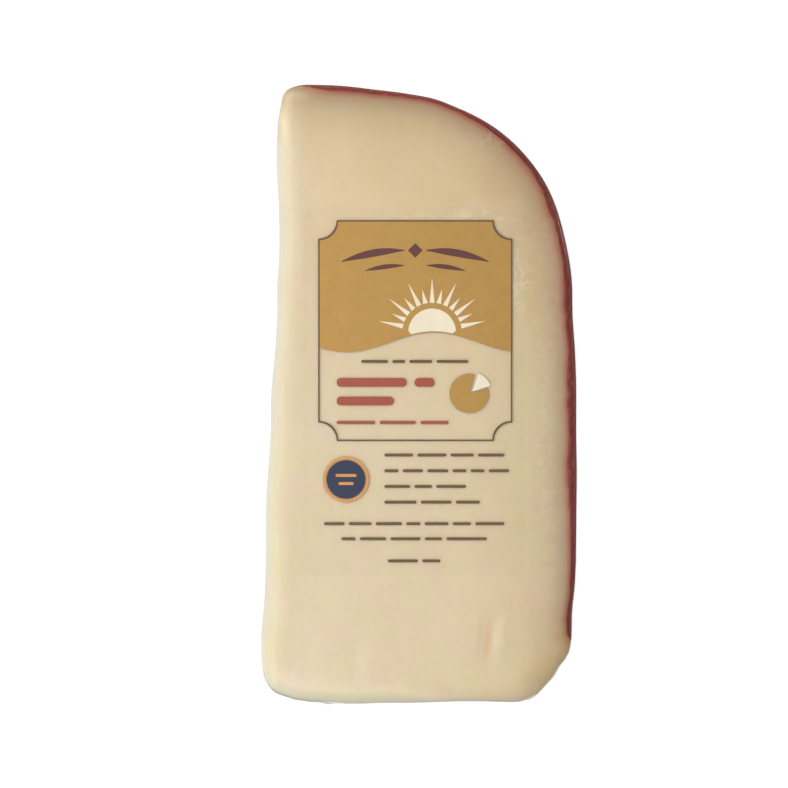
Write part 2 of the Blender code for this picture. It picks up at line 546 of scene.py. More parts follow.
@dataclass(frozen=True)
class SideFold:
    """A fine raised fold of the film on the side, which runs from its foot towards the upper cut.

    Attributes:
        foot: distance along the outline of its lower end.
        drift: how much further along the outline its upper end lies.
        low, high: shares of the turn between which it stands up.
        height, width: its size.
    """

    foot: float
    drift: float
    low: float
    high: float
    height: float
    width: float

    def rise(self, outline: Outline, length: np.ndarray, share: np.ndarray) -> np.ndarray:
        """How far the film stands up at distances along the outline and shares of the turn."""
        middle = self.foot + self.drift * (share - self.low) / (self.high - self.low)
        half = outline.total / 2.0
        gap = (length - middle + half) % outline.total - half
        fade = 0.35 * (self.high - self.low)
        along = ease(share, self.low, self.low + fade) * (1.0 - ease(share, self.high - fade, self.high))
        return self.height * bell(gap, self.width / 2.0) * along


@dataclass(frozen=True)
class Gather:
    """A place of the side where the shrunk film gathers in a few folds."""

    across: float
    out: float
    spread: float
    count: int
    height: float

    def folds(self, outline: Outline, rng: np.random.Generator) -> list[SideFold]:
        """Draws the folds.

        Args:
            outline: the section's outline.
            rng: where their places and sizes are drawn from.

        Returns:
            The folds.
        """
        centre = outline.nearest(self.across, self.out)
        made = []
        for _ in range(self.count):
            foot, drift = centre + rng.normal() * self.spread, rng.uniform(-2.5, 2.5) * MM
            low, high = rng.uniform(0.04, 0.35), rng.uniform(0.62, 0.94)
            height, width = self.height * rng.uniform(0.5, 1.0), rng.uniform(0.8, 1.5) * MM
            made.append(SideFold(foot, drift, low, high, height, width))
        return made


@dataclass(frozen=True)
class Relief:
    """The soft unevenness of the cheese, which the film and the label follow."""

    swell: float = 0.11 * MM
    wavelengths: Pair = mm(15.0, 42.0)
    waves: int = 16
    seed: int = 11
    label_calm: float = 0.45
    label_centre: Pair = mm(22.1, 117.3)
    label_half: Pair = mm(19.05, 31.75)
    edge_fall: float = 0.30 * MM
    edge_reach: float = 2.4 * MM
    rest_calm: float = 0.25
    rest_drop: float = 0.09 * MM
    label_fade: Pair = mm(-2.0, 3.0)
    upper_shares: Pair = (0.75, 0.95)
    rest_shares: Pair = (0.02, 0.2)
    dents: tuple[Dent, ...] = Dent.rows(
        (35.2, 74.8, 1.3, 4.2, 0.17 * MM, -0.12),
        (6.0, 161.0, 7.0, 3.0, 0.10 * MM, 0.3),
        (12.0, 70.5, 6.0, 2.0, 0.12 * MM, 1.4),
    )

    def height(self, places: np.ndarray, flat: np.ndarray, share: np.ndarray) -> np.ndarray:
        """How far the skin stands out of the plain form.

        Args:
            places: places on the plain form.
            flat: the same places in the section.
            share: how far each is turned from the lower cut, 0, to the upper cut, 1.

        Returns:
            The heights along the skin's own direction.
        """
        rng = np.random.default_rng(self.seed)
        total = np.zeros(places.shape[:-1])
        for _ in range(self.waves):
            heading = unit(rng.normal(size=3))
            wavelength, phase = rng.uniform(*self.wavelengths), rng.uniform(0.0, TURN)
            total += np.sin(TURN * (places @ heading) / wavelength + phase)
        total *= self.swell / math.sqrt(self.waves / 2.0)
        upper = ease(share, *self.upper_shares)
        under_label = upper
        for axis in (0, 1):
            gap = np.abs(flat[..., axis] - self.label_centre[axis]) - self.label_half[axis]
            under_label = under_label * (1.0 - ease(gap, *self.label_fade))
        total *= 1.0 - under_label * (1.0 - self.label_calm)
        for dent in self.dents:
            total -= dent.depth * dent.share(flat) * upper
        rest = 1.0 - ease(share, *self.rest_shares)
        return total * (1.0 - rest * (1.0 - self.rest_calm)) - rest * self.rest_drop

    def fall(self, space: Space, share: np.ndarray, inward: np.ndarray) -> np.ndarray:
        """How the cuts sink towards their edges, where the film pulls them rounder.

        Args:
            space: the wedge's place.
            share: how far each place is turned from the lower cut, 0, to the upper cut, 1.
            inward: how far each lies from the section's outline.

        Returns:
            The moves, in the frame.
        """
        depth = self.edge_fall * np.exp(-inward / self.edge_reach) * np.abs(2.0 * share - 1.0)
        upper = (share > 0.5)[..., None]
        return -depth[..., None] * np.where(upper, space.cut_normal(True), space.cut_normal(False))


def add_mesh(
    name: str, places: np.ndarray, faces: Sequence[Sequence[int]], smooth: bool = True
) -> bpy.types.Object:
    """Makes an object from places and faces.

    Args:
        name: the piece's name.
        places: its corners, in the frame.
        faces: its faces, as places' numbers.
        smooth: whether it is shaded smooth.

    Returns:
        The object, in the scene.
    """
    mesh = bpy.data.meshes.new(name)
    mesh.from_pydata(places.tolist(), [], [list(map(int, face)) for face in faces])
    mesh.validate()
    if smooth:
        mesh.shade_smooth()
    piece = bpy.data.objects.new(name, mesh)
    bpy.context.scene.collection.objects.link(piece)
    return piece


def add_values(piece: bpy.types.Object, name: str, values: np.ndarray) -> None:
    """Stores one number for each corner of a piece, for its material to read."""
    layer = piece.data.attributes.new(name, "FLOAT", "POINT")
    layer.data.foreach_set("value", values.astype(np.float32))


def ring_faces(numbers: np.ndarray, closed: bool) -> np.ndarray:
    """Faces between rows of corners that run anticlockwise and climb from row to row.

    Args:
        numbers: the corners' numbers, one row for each ring.
        closed: whether each ring's last corner joins its first.

    Returns:
        The faces, four corners each.
    """
    after = np.roll(numbers, -1, axis=1) if closed else numbers[:, 1:]
    before = numbers if closed else numbers[:, :-1]
    return np.stack((before[:-1], after[:-1], after[1:], before[1:]), axis=-1).reshape(-1, 4)


def end_faces(line: np.ndarray, last: int, flip: bool) -> list[list[int]]:
    """Closes the end of a long coat, between its outside and its inner wall.

    Args:
        line: the end's corner numbers, along the outside and back along the wall.
        last: the last corner of the outside.
        flip: whether the faces look the other way.

    Returns:
        The faces.
    """
    between = [(line[i], line[-i]) for i in range(1, last)]
    pairs = [(line[0], line[0]), *between, (line[last], line[last])]
    faces = [list(dict.fromkeys((a, c, d, b))) for (a, b), (c, d) in zip(pairs, pairs[1:])]
    return [face[::-1] for face in faces] if flip else faces


def patch(ring: np.ndarray, short: int, long: int, rounds: int = 80) -> np.ndarray:
    """Fills a ring with an even grid, stretched between its four corners.

    Args:
        ring: the ring's places in the section, from its first corner.
        short, long: how many steps its sides have, in turn.
        rounds: how often the grid is evened out.

    Returns:
        The grid's places, short side first.
    """
    bottom, right = ring[: short + 1], ring[short : short + long + 1]
    top = ring[short + long : 2 * short + long + 1][::-1]
    left = np.concatenate((ring[2 * short + long :], ring[:1]))[::-1]
    u = np.linspace(0.0, 1.0, short + 1)[:, None, None]
    v = np.linspace(0.0, 1.0, long + 1)[None, :, None]
    sides = (1 - v) * bottom[:, None] + v * top[:, None] + (1 - u) * left[None] + u * right[None]
    ends = (1 - u) * (1 - v) * bottom[0] + u * (1 - v) * bottom[-1] + (1 - u) * v * top[0] + u * v * top[-1]
    grid = sides - ends
    for _ in range(rounds):
        grid[1:-1, 1:-1] = (grid[:-2, 1:-1] + grid[2:, 1:-1] + grid[1:-1, :-2] + grid[1:-1, 2:]) / 4.0
    return grid


def patch_numbers(ring: np.ndarray, short: int, long: int, first: int) -> np.ndarray:
    """Numbers the corners of a patch, whose rim is a ring that exists.

    Args:
        ring: the ring's numbers.
        short, long: how many steps its sides have.
        first: the number of the first corner inside the rim.

    Returns:
        The grid of numbers, short side first.
    """
    numbers = np.zeros((short + 1, long + 1), int)
    numbers[1:-1, 1:-1] = first + np.arange((short - 1) * (long - 1)).reshape(short - 1, long - 1)
    numbers[:, 0] = ring[: short + 1]
    numbers[-1, :] = ring[short : short + long + 1]
    numbers[:, -1] = ring[short + long : 2 * short + long + 1][::-1]
    numbers[0, :] = np.concatenate((ring[2 * short + long :], ring[:1]))[::-1]
    return numbers


@dataclass(frozen=True)
class Skin:
    """A closed skin of the wedge, below the film's outside: two cuts, their rounded edges and the side.

    Attributes:
        depth: how far it lies below the film's outside.
        overlap: how far it reaches under the rind, or None where it leaves no room for one.
        short, long: steps along the short and long sides of a cut.
        edge_rows, side_rows: rows over a rounded edge and up the side.
    """

    section: Section
    space: Space
    relief: Relief
    depth: float
    overlap: float | None
    short: int
    long: int
    edge_rows: int = 8
    side_rows: int = 22
    shoulder_margin: float = 0.15 * MM
    crease_shares: Pair = (0.85, 0.97)

    def columns(self, outline: Outline) -> Outline:
        """The outline at the skin's columns, from the first corner of its grid."""
        corners = self.section.corners(outline)
        counts = (self.short, self.long, self.short, self.long)
        lengths = []
        for start, end, count in zip(corners, corners[1:] + corners[:1], counts):
            span = (end - start) % outline.total
            lengths.append(start + span * np.arange(count) / count)
        return outline.at(np.concatenate(lengths) % outline.total)

    def wall(self, columns: Outline) -> Row:
        """Sets out the rows round the wedge, from the flat of the lower cut to that of the upper.

        Args:
            columns: the outline at the skin's columns.

        Returns:
            For each row and column its place in the section, its turn and its outward direction.
        """
        radius = columns.rounding - self.depth
        border = np.zeros_like(radius)
        if self.overlap is not None:
            border = np.maximum(columns.rind - self.depth - self.overlap, 0.0)
        inner = np.maximum(radius, border + self.shoulder_margin)

        rows = []
        for upper in (False, True):
            for row in range(self.edge_rows + 1):
                slope = QUARTER * (self.edge_rows - row if upper else row) / self.edge_rows
                inset = border + (inner - border) * (1.0 - math.sin(slope))
                rows.append(rounded(self.space, columns, radius, inset, self.depth, upper))
            if not upper:
                rows += side_rows(self.space, columns, rows[-1], self.side_rows)
        return tuple(np.array([row[part] for row in rows]) for part in range(3))

    def build(
        self, name: str, creases: Sequence[Crease] = (), folds: Sequence[SideFold] = ()
    ) -> tuple[bpy.types.Object, np.ndarray, np.ndarray]:
        """Makes the skin.

        Args:
            name: the piece's name.
            creases: creases of the upper cut that only this skin has.
            folds: folds of the side that only this skin has.

        Returns:
            The object, and for each corner its place in the section and its share of the turn.
        """
        outline = self.section.outline()
        columns = self.columns(outline)
        flat, turn, normal = self.wall(columns)
        numbers = np.arange(flat.shape[0] * flat.shape[1]).reshape(flat.shape[:2])
        faces = [ring_faces(numbers, closed=True)]
        flat_parts, turn_parts = [flat.reshape(-1, 2)], [turn.reshape(-1)]
        normal_parts = [normal.reshape(-1, 3)]
        first = numbers.size
        for upper in (False, True):
            row = -1 if upper else 0
            inside = patch(flat[row], self.short, self.long)[1:-1, 1:-1].reshape(-1, 2)
            cap = patch_numbers(numbers[row], self.short, self.long, first)
            quads = np.stack((cap[:-1, :-1], cap[1:, :-1], cap[1:, 1:], cap[:-1, 1:]), axis=-1).reshape(-1, 4)
            faces.append(quads if upper else quads[:, ::-1])
            lift = np.arcsin(self.depth / inside[:, 1])
            flat_parts.append(inside)
            turn_parts.append(self.space.wedge_angle - lift if upper else lift)
            normal_parts.append(np.broadcast_to(self.space.cut_normal(upper), (len(inside), 3)))
            first += len(inside)
        all_flat, all_turn = np.concatenate(flat_parts), np.concatenate(turn_parts)
        share = all_turn / self.space.wedge_angle
        places = self.space.place(all_flat, all_turn)
        height = self.relief.height(places, all_flat, share)
        for crease in creases:
            height += crease.rise(all_flat) * ease(share, *self.crease_shares)
        lengths = np.tile(columns.length, len(numbers))
        for fold in folds:
            height[: len(lengths)] += fold.rise(outline, lengths, share[: len(lengths)])
        places = places + np.concatenate(normal_parts) * height[:, None]
        places += self.relief.fall(self.space, share, outline.gap(all_flat))
        places[:, 2] = np.maximum(places[:, 2], self.depth)
        return add_mesh(name, places, np.concatenate(faces)), all_flat, share


def rounded(
    space: Space, columns: Outline, radius: np.ndarray, inset: np.ndarray, depth: float, upper: bool
) -> Row:
    """One row of a rounded edge.

    Args:
        space: the wedge's place.
        columns: the outline at the row's columns.
        radius: the edge's radius at this depth.
        inset: how far the row lies in from the side at this depth.
        depth: how far it lies below the film's outside.
        upper: whether it is the upper cut's edge.

    Returns:
        The row's places in the section, its turns and its outward directions.
    """
    sine = np.clip((radius - inset) / radius, 0.0, 1.0)
    cosine = np.sqrt(1.0 - sine**2)
    flat = columns.points - columns.outward * (depth + inset)[:, None]
    lift = np.arcsin((depth + radius * (1.0 - cosine)) / flat[:, 1])
    turn = space.wedge_angle - lift if upper else lift
    sideways = space.direction(columns.outward, turn)
    normal = sine[:, None] * sideways + cosine[:, None] * space.cut_normal(upper)
    return flat, turn, normal


def side_rows(space: Space, columns: Outline, low: Row, count: int) -> list[Row]:
    """The rows of a side, between the lower and the upper edge.

    Args:
        space: the wedge's place.
        columns: the outline at the rows' columns.
        low: the last row of the lower edge.
        count: how many steps the side has.

    Returns:
        The rows, each with its places in the section, its turns and its outward directions.
    """
    rows = []
    for row in range(1, count):
        turn = low[1] + (space.wedge_angle - 2.0 * low[1]) * row / count
        rows.append((low[0], turn, space.direction(columns.outward, turn)))
    return rows


class Graph:
    """Adds nodes to a tree and links them, so that a finish reads as a list of steps."""

    def __init__(self, tree: bpy.types.NodeTree) -> None:
        """Keeps the tree."""
        self.tree = tree

    def add(self, kind: str, values: dict | None = None, **settings: object) -> bpy.types.Node:
        """Adds one node.

        Args:
            kind: the node's type, without its leading ShaderNode.
            values: for each input, by name or number, a constant or the socket that feeds it.
            settings: properties of the node itself.

        Returns:
            The node.
        """
        node = self.tree.nodes.new("ShaderNode" + kind)
        for name, value in settings.items():
            setattr(node, name, value)
        for key, value in (values or {}).items():
            if isinstance(value, Socket):
                self.tree.links.new(value, node.inputs[key])
            else:
                node.inputs[key].default_value = value
        return node

    def place(self) -> Socket:
        """Where a point lies on its object."""
        return self.add("TexCoord").outputs["Object"]

    def noise(self, place: Socket, scale: object, detail: float = 2.0, **more: float) -> Socket:
        """The value of a Noise node at a place."""
        return self.add("TexNoise", {"Vector": place, "Scale": scale, "Detail": detail} | more).outputs[0]

    def bump(self, height: Socket, strength: float = 1.0) -> Socket:
        """The normal of a surface with a height in metres."""
        values = {"Strength": strength, "Distance": 1.0, "Height": height}
        return self.add("Bump", values).outputs[0]

    def math(self, operation: str, *values: object, clamp: bool = False) -> Socket:
        """The result of a Math node."""
        node = self.add("Math", dict(enumerate(values)), operation=operation, use_clamp=clamp)
        return node.outputs[0]

    def mix(self, factor: object, first: object, second: object, blend: str = "MIX") -> Socket:
        """The colour of a Mix node, from the first colour at factor 0 to the second at 1."""
        node = self.add("Mix", {0: factor, 6: first, 7: second}, data_type="RGBA", blend_type=blend)
        return node.outputs[2]

    def shaded(self, colour: Socket, factor: Socket, low: Colour, high: Colour = WHITE) -> Socket:
        """A colour multiplied by one that runs from low at factor 0 to high at 1."""
        return self.mix(1.0, colour, self.mix(factor, low, high), "MULTIPLY")

    def ramp(self, factor: Socket, stops: Sequence[tuple[float, Colour]]) -> Socket:
        """The colour of a ramp.

        Args:
            factor: where on the ramp.
            stops: places from 0 to 1 with their colours, in order.

        Returns:
            The colour.
        """
        node = self.add("ValToRGB", {0: factor})
        elements = node.color_ramp.elements
        while len(elements) < len(stops):
            elements.new(0.5)
        for element, (place, colour) in zip(elements, stops):
            element.position = place
            element.color = colour
        return node.outputs[0]

    def span(
        self, value: Socket, low: float, high: float, start: float = 0.0, end: float = 1.0
    ) -> Socket:
        """A value stretched from the range low to high onto start to end, and kept in it."""
        values = {0: value, 1: low, 2: high, 3: start, 4: end}
        return self.add("MapRange", values, clamp=True).outputs[0]

    def attribute(self, name: str) -> Socket:
        """The number that a piece stores for each of its corners."""
        return self.add("Attribute", attribute_name=name, attribute_type="GEOMETRY").outputs["Fac"]


class Effects:
    """The node groups that more than one finish uses, each built the first time it is asked for."""

    first_depth: float = 0.01 * MM
    fine_share: float = 5.0
    noise_reach: Pair = (0.3, 0.7)
    swells_per_metre: float = 170.0
    ridges_per_metre: float = 420.0
    ridge_width: float = 0.06

    def __init__(self) -> None:
        """Starts with none."""
        self.made: dict[str, bpy.types.NodeTree] = {}

    def tree(self, name: str, inputs: Iterable[tuple[str, float]], outputs: Iterable[str]) -> Graph:
        """Starts a group with number sockets.

        Args:
            name: the group's name.
            inputs: the inputs' names and first values.
            outputs: the outputs' names.

        Returns:
            The group's graph.
        """
        tree, kind = bpy.data.node_groups.new(name, "ShaderNodeTree"), "NodeSocketFloat"
        for title, value in inputs:
            socket = tree.interface.new_socket(name=title, in_out="INPUT", socket_type=kind)
            socket.default_value = value
        for title in outputs:
            tree.interface.new_socket(name=title, in_out="OUTPUT", socket_type=kind)
        self.made[name] = tree
        return Graph(tree)

    def drift(self) -> bpy.types.NodeTree:
        """Soft clouds and drawn-out streaks, from 0 to 1, in the paste, the rind and the inks.

        Returns:
            A group with inputs Patches Per Metre, Streaks Per Metre and Stretch, and outputs Cloud, Fine
            and Streak.
        """
        if "drift" in self.made:
            return self.made["drift"]
        inputs = (("Patches Per Metre", 200.0), ("Streaks Per Metre", 800.0), ("Stretch", 0.1))
        graph = self.tree("drift", inputs, ("Cloud", "Fine", "Streak"))
        given = graph.tree.nodes.new("NodeGroupInput")
        result = graph.tree.nodes.new("NodeGroupOutput")
        patches, streaks, stretch = (given.outputs[number] for number in range(3))
        place = graph.place()
        cloud = graph.noise(place, patches, 3.0)
        fine = graph.noise(place, graph.math("MULTIPLY", patches, self.fine_share), 4.0, Roughness=0.6)
        drawn = graph.add("CombineXYZ", {0: 1.0, 1: stretch, 2: stretch}).outputs[0]
        drawn_place = graph.add("VectorMath", {0: place, 1: drawn}, operation="MULTIPLY").outputs[0]
        streak = graph.noise(drawn_place, streaks)
        for number, noise in enumerate((cloud, fine, streak)):
            graph.tree.links.new(graph.span(noise, *self.noise_reach), result.inputs[number])
        return self.made["drift"]

    def drifting(
        self, graph: Graph, patches: float, streaks: float, stretch: float
    ) -> tuple[Socket, Socket, Socket]:
        """Places the drift group in a finish.

        Args:
            graph: the finish's graph.
            patches, streaks: how many of each lie in a metre.
            stretch: how far the streaks are drawn out, 1 for not at all.

        Returns:
            The outputs Cloud, Fine and Streak.
        """
        values = {"Patches Per Metre": patches, "Streaks Per Metre": streaks, "Stretch": stretch}
        outputs = graph.add("Group", values, node_tree=self.drift()).outputs
        return outputs["Cloud"], outputs["Fine"], outputs["Streak"]

    def ripple(self) -> bpy.types.NodeTree:
        """The fine ripples of thin plastic, as a height in metres.

        Returns:
            A group with inputs Depth and Wrinkle Depth, and outputs Height and Fold, which is 1 on a wrinkle.
        """
        if "ripple" in self.made:
            return self.made["ripple"]
        inputs = (("Depth", self.first_depth), ("Wrinkle Depth", self.first_depth))
        graph = self.tree("ripple", inputs, ("Height", "Fold"))
        given = graph.tree.nodes.new("NodeGroupInput")
        result = graph.tree.nodes.new("NodeGroupOutput")
        place = graph.place()
        soft = graph.noise(place, self.swells_per_metre)
        ridges = graph.noise(place, self.ridges_per_metre, Distortion=0.8)
        folded = graph.math("ABSOLUTE", graph.math("SUBTRACT", ridges, 0.5))
        fold = graph.span(folded, 0.0, self.ridge_width, 1.0, 0.0)
        height = graph.math("MULTIPLY", soft, given.outputs[0])
        wrinkle = graph.math("MULTIPLY", fold, given.outputs[1])
        graph.tree.links.new(graph.math("ADD", height, wrinkle), result.inputs[0])
        graph.tree.links.new(fold, result.inputs[1])
        return self.made["ripple"]

    def rippled(
        self, graph: Graph, depth: float = first_depth, wrinkle_depth: float = first_depth
    ) -> tuple[Socket, Socket]:
        """Places the ripple group in a finish.

        Args:
            graph: the finish's graph.
            depth, wrinkle_depth: how deep its ripples and its wrinkles are.

        Returns:
            The outputs Height and Fold.
        """
        values = {"Depth": depth, "Wrinkle Depth": wrinkle_depth}
        outputs = graph.add("Group", values, node_tree=self.ripple()).outputs
        return outputs["Height"], outputs["Fold"]


class MaterialGraph(Graph):
    """The graph of one material."""

    def __init__(self, name: str) -> None:
        """Starts a material that has nothing but its output."""
        self.material = bpy.data.materials.new(name)
        self.material.use_nodes = True
        self.material.node_tree.nodes.clear()
        super().__init__(self.material.node_tree)
        self.output = self.add("OutputMaterial")

    def close(self, shader: bpy.types.Node) -> bpy.types.Material:
        """Feeds the material's output from a shader."""
        self.tree.links.new(shader.outputs[0], self.output.inputs[0])
        return self.material


@dataclass(frozen=True)
class PasteFinish:
    """Pale cream cheese: darker and browner by the rind, faintly mottled, and a little translucent."""

    by_rind: tuple[tuple[float, Colour], ...] = (
        (0.0, paint(134, 74, 58)),
        (0.4 * MM, paint(162, 114, 95)),
        (0.9 * MM, paint(172, 143, 119)),
        (2.0 * MM, paint(181, 161, 135)),
        (4.0 * MM, paint(198, 179, 149)),
        (8.0 * MM, paint(209, 192, 160)),
        (18.0 * MM, paint(219, 201, 172)),
        (45.0 * MM, paint(223, 207, 181)),
    )
    reach: float = 50.0 * MM
    rimward: Colour = (1.0, 0.945, 0.885, 1.0)
    rosy: Colour = (1.0, 0.96, 0.965, 1.0)
    sallow: Colour = (0.984, 1.0, 0.905, 1.0)
    # Painted light at the bare edges: near white at the very edge, a painted reflection of the white
    # surroundings in the film, and a little darker further in, painted shade.
    painted_edge_light: tuple[tuple[float, Colour], ...] = (
        (0.18, paint(218, 203, 176)),
        (0.32, paint(226, 211, 184)),
        (0.45, paint(228, 215, 188)),
        (0.57, paint(221, 210, 183)),
        (0.67, paint(217, 209, 187)),
        (0.75, paint(219, 213, 195)),
        (0.83, paint(222, 217, 203)),
        (0.92, paint(229, 226, 215)),
        (1.0, paint(234, 233, 223)),
    )
    painted_edge_light_shares: Pair = (0.08, 0.4)
    drift: tuple[float, float, float] = (175.0, 300.0, 0.55)
    smears: Colour = (0.976, 0.966, 0.932, 1.0)
    grain: Colour = (0.968, 0.966, 0.918, 1.0)
    ripe: Colour = paint(176, 140, 86)
    tint: Colour = paint(207, 157, 108)
    # This colour also paints the film's highlights on its wrinkles and its whitish patches of sheen.
    pale: Colour = paint(238, 228, 208)
    # How strongly the film's wrinkles and patches of its sheen are painted pale, as painted highlights.
    film_sheen_share: float = 0.5
    painted_sheen_per_metre: float = 260.0
    painted_sheen: tuple[float, float, float, float] = (0.45, 0.75, 0.0, 0.6)
    roughness: float = 0.5
    specular: float = 0.12
    subsurface: float = 0.12
    subsurface_radius: tuple[float, float, float] = (1.0, 0.55, 0.25)
    subsurface_scale: float = 2.5 * MM

    def mottled(self, graph: Graph, effects: Effects, colour: Socket) -> Socket:
        """Mottles a colour with rosy and sallow patches, soft smears and a fine grain.

        Args:
            graph: the material's graph.
            effects: the shared groups.
            colour: the even colour.

        Returns:
            The mottled colour.
        """
        cloud, fine, streak = effects.drifting(graph, *self.drift)
        colour = graph.shaded(colour, cloud, self.sallow, self.rosy)
        colour = graph.shaded(colour, streak, self.smears)
        return graph.shaded(colour, fine, self.grain)

    def material(self, effects: Effects) -> bpy.types.Material:
        """Builds the material, which reads the paste's stored values from its mesh."""
        graph = MaterialGraph("cheese_paste")
        distance = graph.attribute("from_rind")
        share = graph.math("POWER", graph.span(distance, 0.0, self.reach), 0.5)
        stops = [(math.sqrt(place / self.reach), colour) for place, colour in self.by_rind]
        colour = graph.shaded(graph.ramp(share, stops), graph.attribute("rimward"), WHITE, self.rimward)
        # Painted reflection and painted shade at the bare edges, from the ramp above.
        by_edge = graph.attribute("by_painted_edge_light")
        edge_share = graph.span(by_edge, *self.painted_edge_light_shares)
        colour = graph.mix(edge_share, colour, graph.ramp(by_edge, self.painted_edge_light))
        # Ripe colour, and the painted shade of the broad marks by the shoulder.
        colour = graph.mix(graph.attribute("ripe"), colour, self.ripe)
        # Pale marks, two of them painted light.
        colour = graph.mix(graph.attribute("pale"), colour, self.pale)
        colour = self.mottled(graph, effects, colour)
        colour = graph.mix(graph.attribute("tint"), colour, self.tint)
        # Painted highlights of the film: on its wrinkles and in whitish patches of sheen, where the marks
        # allow.
        _, fold = effects.rippled(graph)
        painted_film_sheen = graph.math("MULTIPLY", graph.attribute("painted_film_sheen"), self.film_sheen_share)
        painted_sheen = graph.span(graph.noise(graph.place(), self.painted_sheen_per_metre), *self.painted_sheen)
        wrinkles = graph.math("MULTIPLY", graph.math("MAXIMUM", fold, painted_sheen), painted_film_sheen)
        colour = graph.mix(wrinkles, colour, self.pale)
        shader = graph.add(
            "BsdfPrincipled",
            {
                "Base Color": colour,
                "Roughness": self.roughness,
                "Specular IOR Level": self.specular,
                "Subsurface Weight": self.subsurface,
                "Subsurface Radius": self.subsurface_radius,
                "Subsurface Scale": self.subsurface_scale,
            },
        )
        return graph.close(shader)


@dataclass(frozen=True)
class RindFinish:
    """The dark red coat of the wheel, brighter and streaky where it meets the paste."""

    inner: Colour = paint(140, 60, 42)
    middle: Colour = paint(110, 22, 10)
    crest: Colour = paint(134, 68, 60)
    outer: Colour = paint(110, 41, 34)
    middle_at: float = 0.35
    crest_at: float = 0.75
    at_rim: Colour = (1.4, 1.5, 1.5, 1.0)
    roughness: float = 0.5
    specular: float = 0.12
    uneven_from: float = 0.5
    unevenness: float = 0.25
    calm_unevenness: float = 0.07
    drift: tuple[float, float, float] = (700.0, 150.0, 0.6)
    grain: Colour = (0.84, 0.78, 0.76, 1.0)
    dull: Colour = (0.90, 0.88, 0.88, 1.0)
    grain_depth: float = 0.03 * MM
    grain_strength: float = 0.7

    def material(self, effects: Effects) -> bpy.types.Material:
        """Builds the material, which reads outness and at_rim from the mesh."""
        graph = MaterialGraph("red_rind")
        cloud, fine, streak = effects.drifting(graph, *self.drift)
        outness = graph.attribute("outness")
        uneven = graph.span(outness, self.uneven_from, 1.0, self.unevenness, self.calm_unevenness)
        shift = graph.math("MULTIPLY", graph.span(cloud, 0.0, 1.0, -1.0, 1.0), uneven)
        stops = (
            (0.0, self.inner),
            (self.middle_at, self.middle),
            (self.crest_at, self.crest),
            (1.0, self.outer),
        )
        colour = graph.ramp(graph.math("ADD", outness, shift), stops)
        colour = graph.shaded(colour, fine, self.grain)
        colour = graph.shaded(colour, streak, self.dull)
        colour = graph.shaded(colour, graph.attribute("at_rim"), WHITE, self.at_rim)
        height = graph.math("MULTIPLY", fine, self.grain_depth)
        shader = graph.add(
            "BsdfPrincipled",
            {
                "Base Color": colour,
                "Roughness": self.roughness,
                "Specular IOR Level": self.specular,
                "Normal": graph.bump(height, self.grain_strength),
            },
        )
        return graph.close(shader)


@dataclass(frozen=True)
class ClearFinish:
    """Clear plastic, which shows what lies under it and mirrors more where it is seen at a slant."""

    name: str
    clear: Colour
    ior: float
    roughness: float
    ripple_depth: float
    wrinkle_depth: float

    def material(self, effects: Effects) -> bpy.types.Material:
        """Builds the material. Its back mirrors nothing, so light gets out of what it wraps."""
        graph = MaterialGraph(self.name)
        height, _ = effects.rippled(graph, self.ripple_depth, self.wrinkle_depth)
        normal = graph.bump(height)
        mirrored = graph.add("Fresnel", {"IOR": self.ior, "Normal": normal}).outputs[0]
        front = graph.math("SUBTRACT", 1.0, graph.add("NewGeometry").outputs["Backfacing"])
        factor = graph.math("MULTIPLY", mirrored, front)
        through = graph.add("BsdfTransparent", {"Color": self.clear})
        look = {"Base Color": WHITE, "Metallic": 1.0, "Roughness": self.roughness, "Normal": normal}
        gloss = graph.add("BsdfPrincipled", look)
        return graph.close(graph.add("MixShader", {0: factor, 1: through.outputs[0], 2: gloss.outputs[0]}))


@dataclass(frozen=True)
class InkFinish:
    """A printing ink on clear plastic: nearly even, with a faint grain, and as glossy as the plastic.

    Attributes:
        grain: how much darker its grain gets.
        shades: what the colour is multiplied by at the label's left and right, as the paste below darkens.
        reach: how far from the label's middle the shades are reached.
    """

    name: str
    colour: Colour
    grain: float = 0.06
    roughness: float = 0.3
    shades: Pair = (1.0, 1.0)
    reach: float = 18.0 * MM
    drift: tuple[float, float, float] = (420.0, 900.0, 1.0)
    ripple_depth: float = 0.02 * MM
    wrinkle_depth: float = 0.004 * MM

    def material(self, effects: Effects) -> bpy.types.Material:
        """Builds the material."""
        graph = MaterialGraph(self.name)
        cloud, fine, _ = effects.drifting(graph, *self.drift)
        height, _ = effects.rippled(graph, self.ripple_depth, self.wrinkle_depth)
        low = tuple(value * (1.0 - self.grain) for value in self.colour[:3])
        colour = graph.mix(cloud, (*low, 1.0), self.colour)
        speckle = graph.span(fine, 0.0, 1.0, 1.0 - self.grain, 1.0)
        across = graph.add("SeparateXYZ", {0: graph.place()}).outputs[0]
        shade = graph.span(across, -self.reach, self.reach, *self.shades)
        speckle = graph.math("MULTIPLY", speckle, shade)
        grey = graph.add("CombineColor", {0: speckle, 1: speckle, 2: speckle}).outputs[0]
        colour = graph.mix(1.0, colour, grey, "MULTIPLY")
        look = {"Base Color": colour, "Roughness": self.roughness, "Normal": graph.bump(height)}
        return graph.close(graph.add("BsdfPrincipled", look))


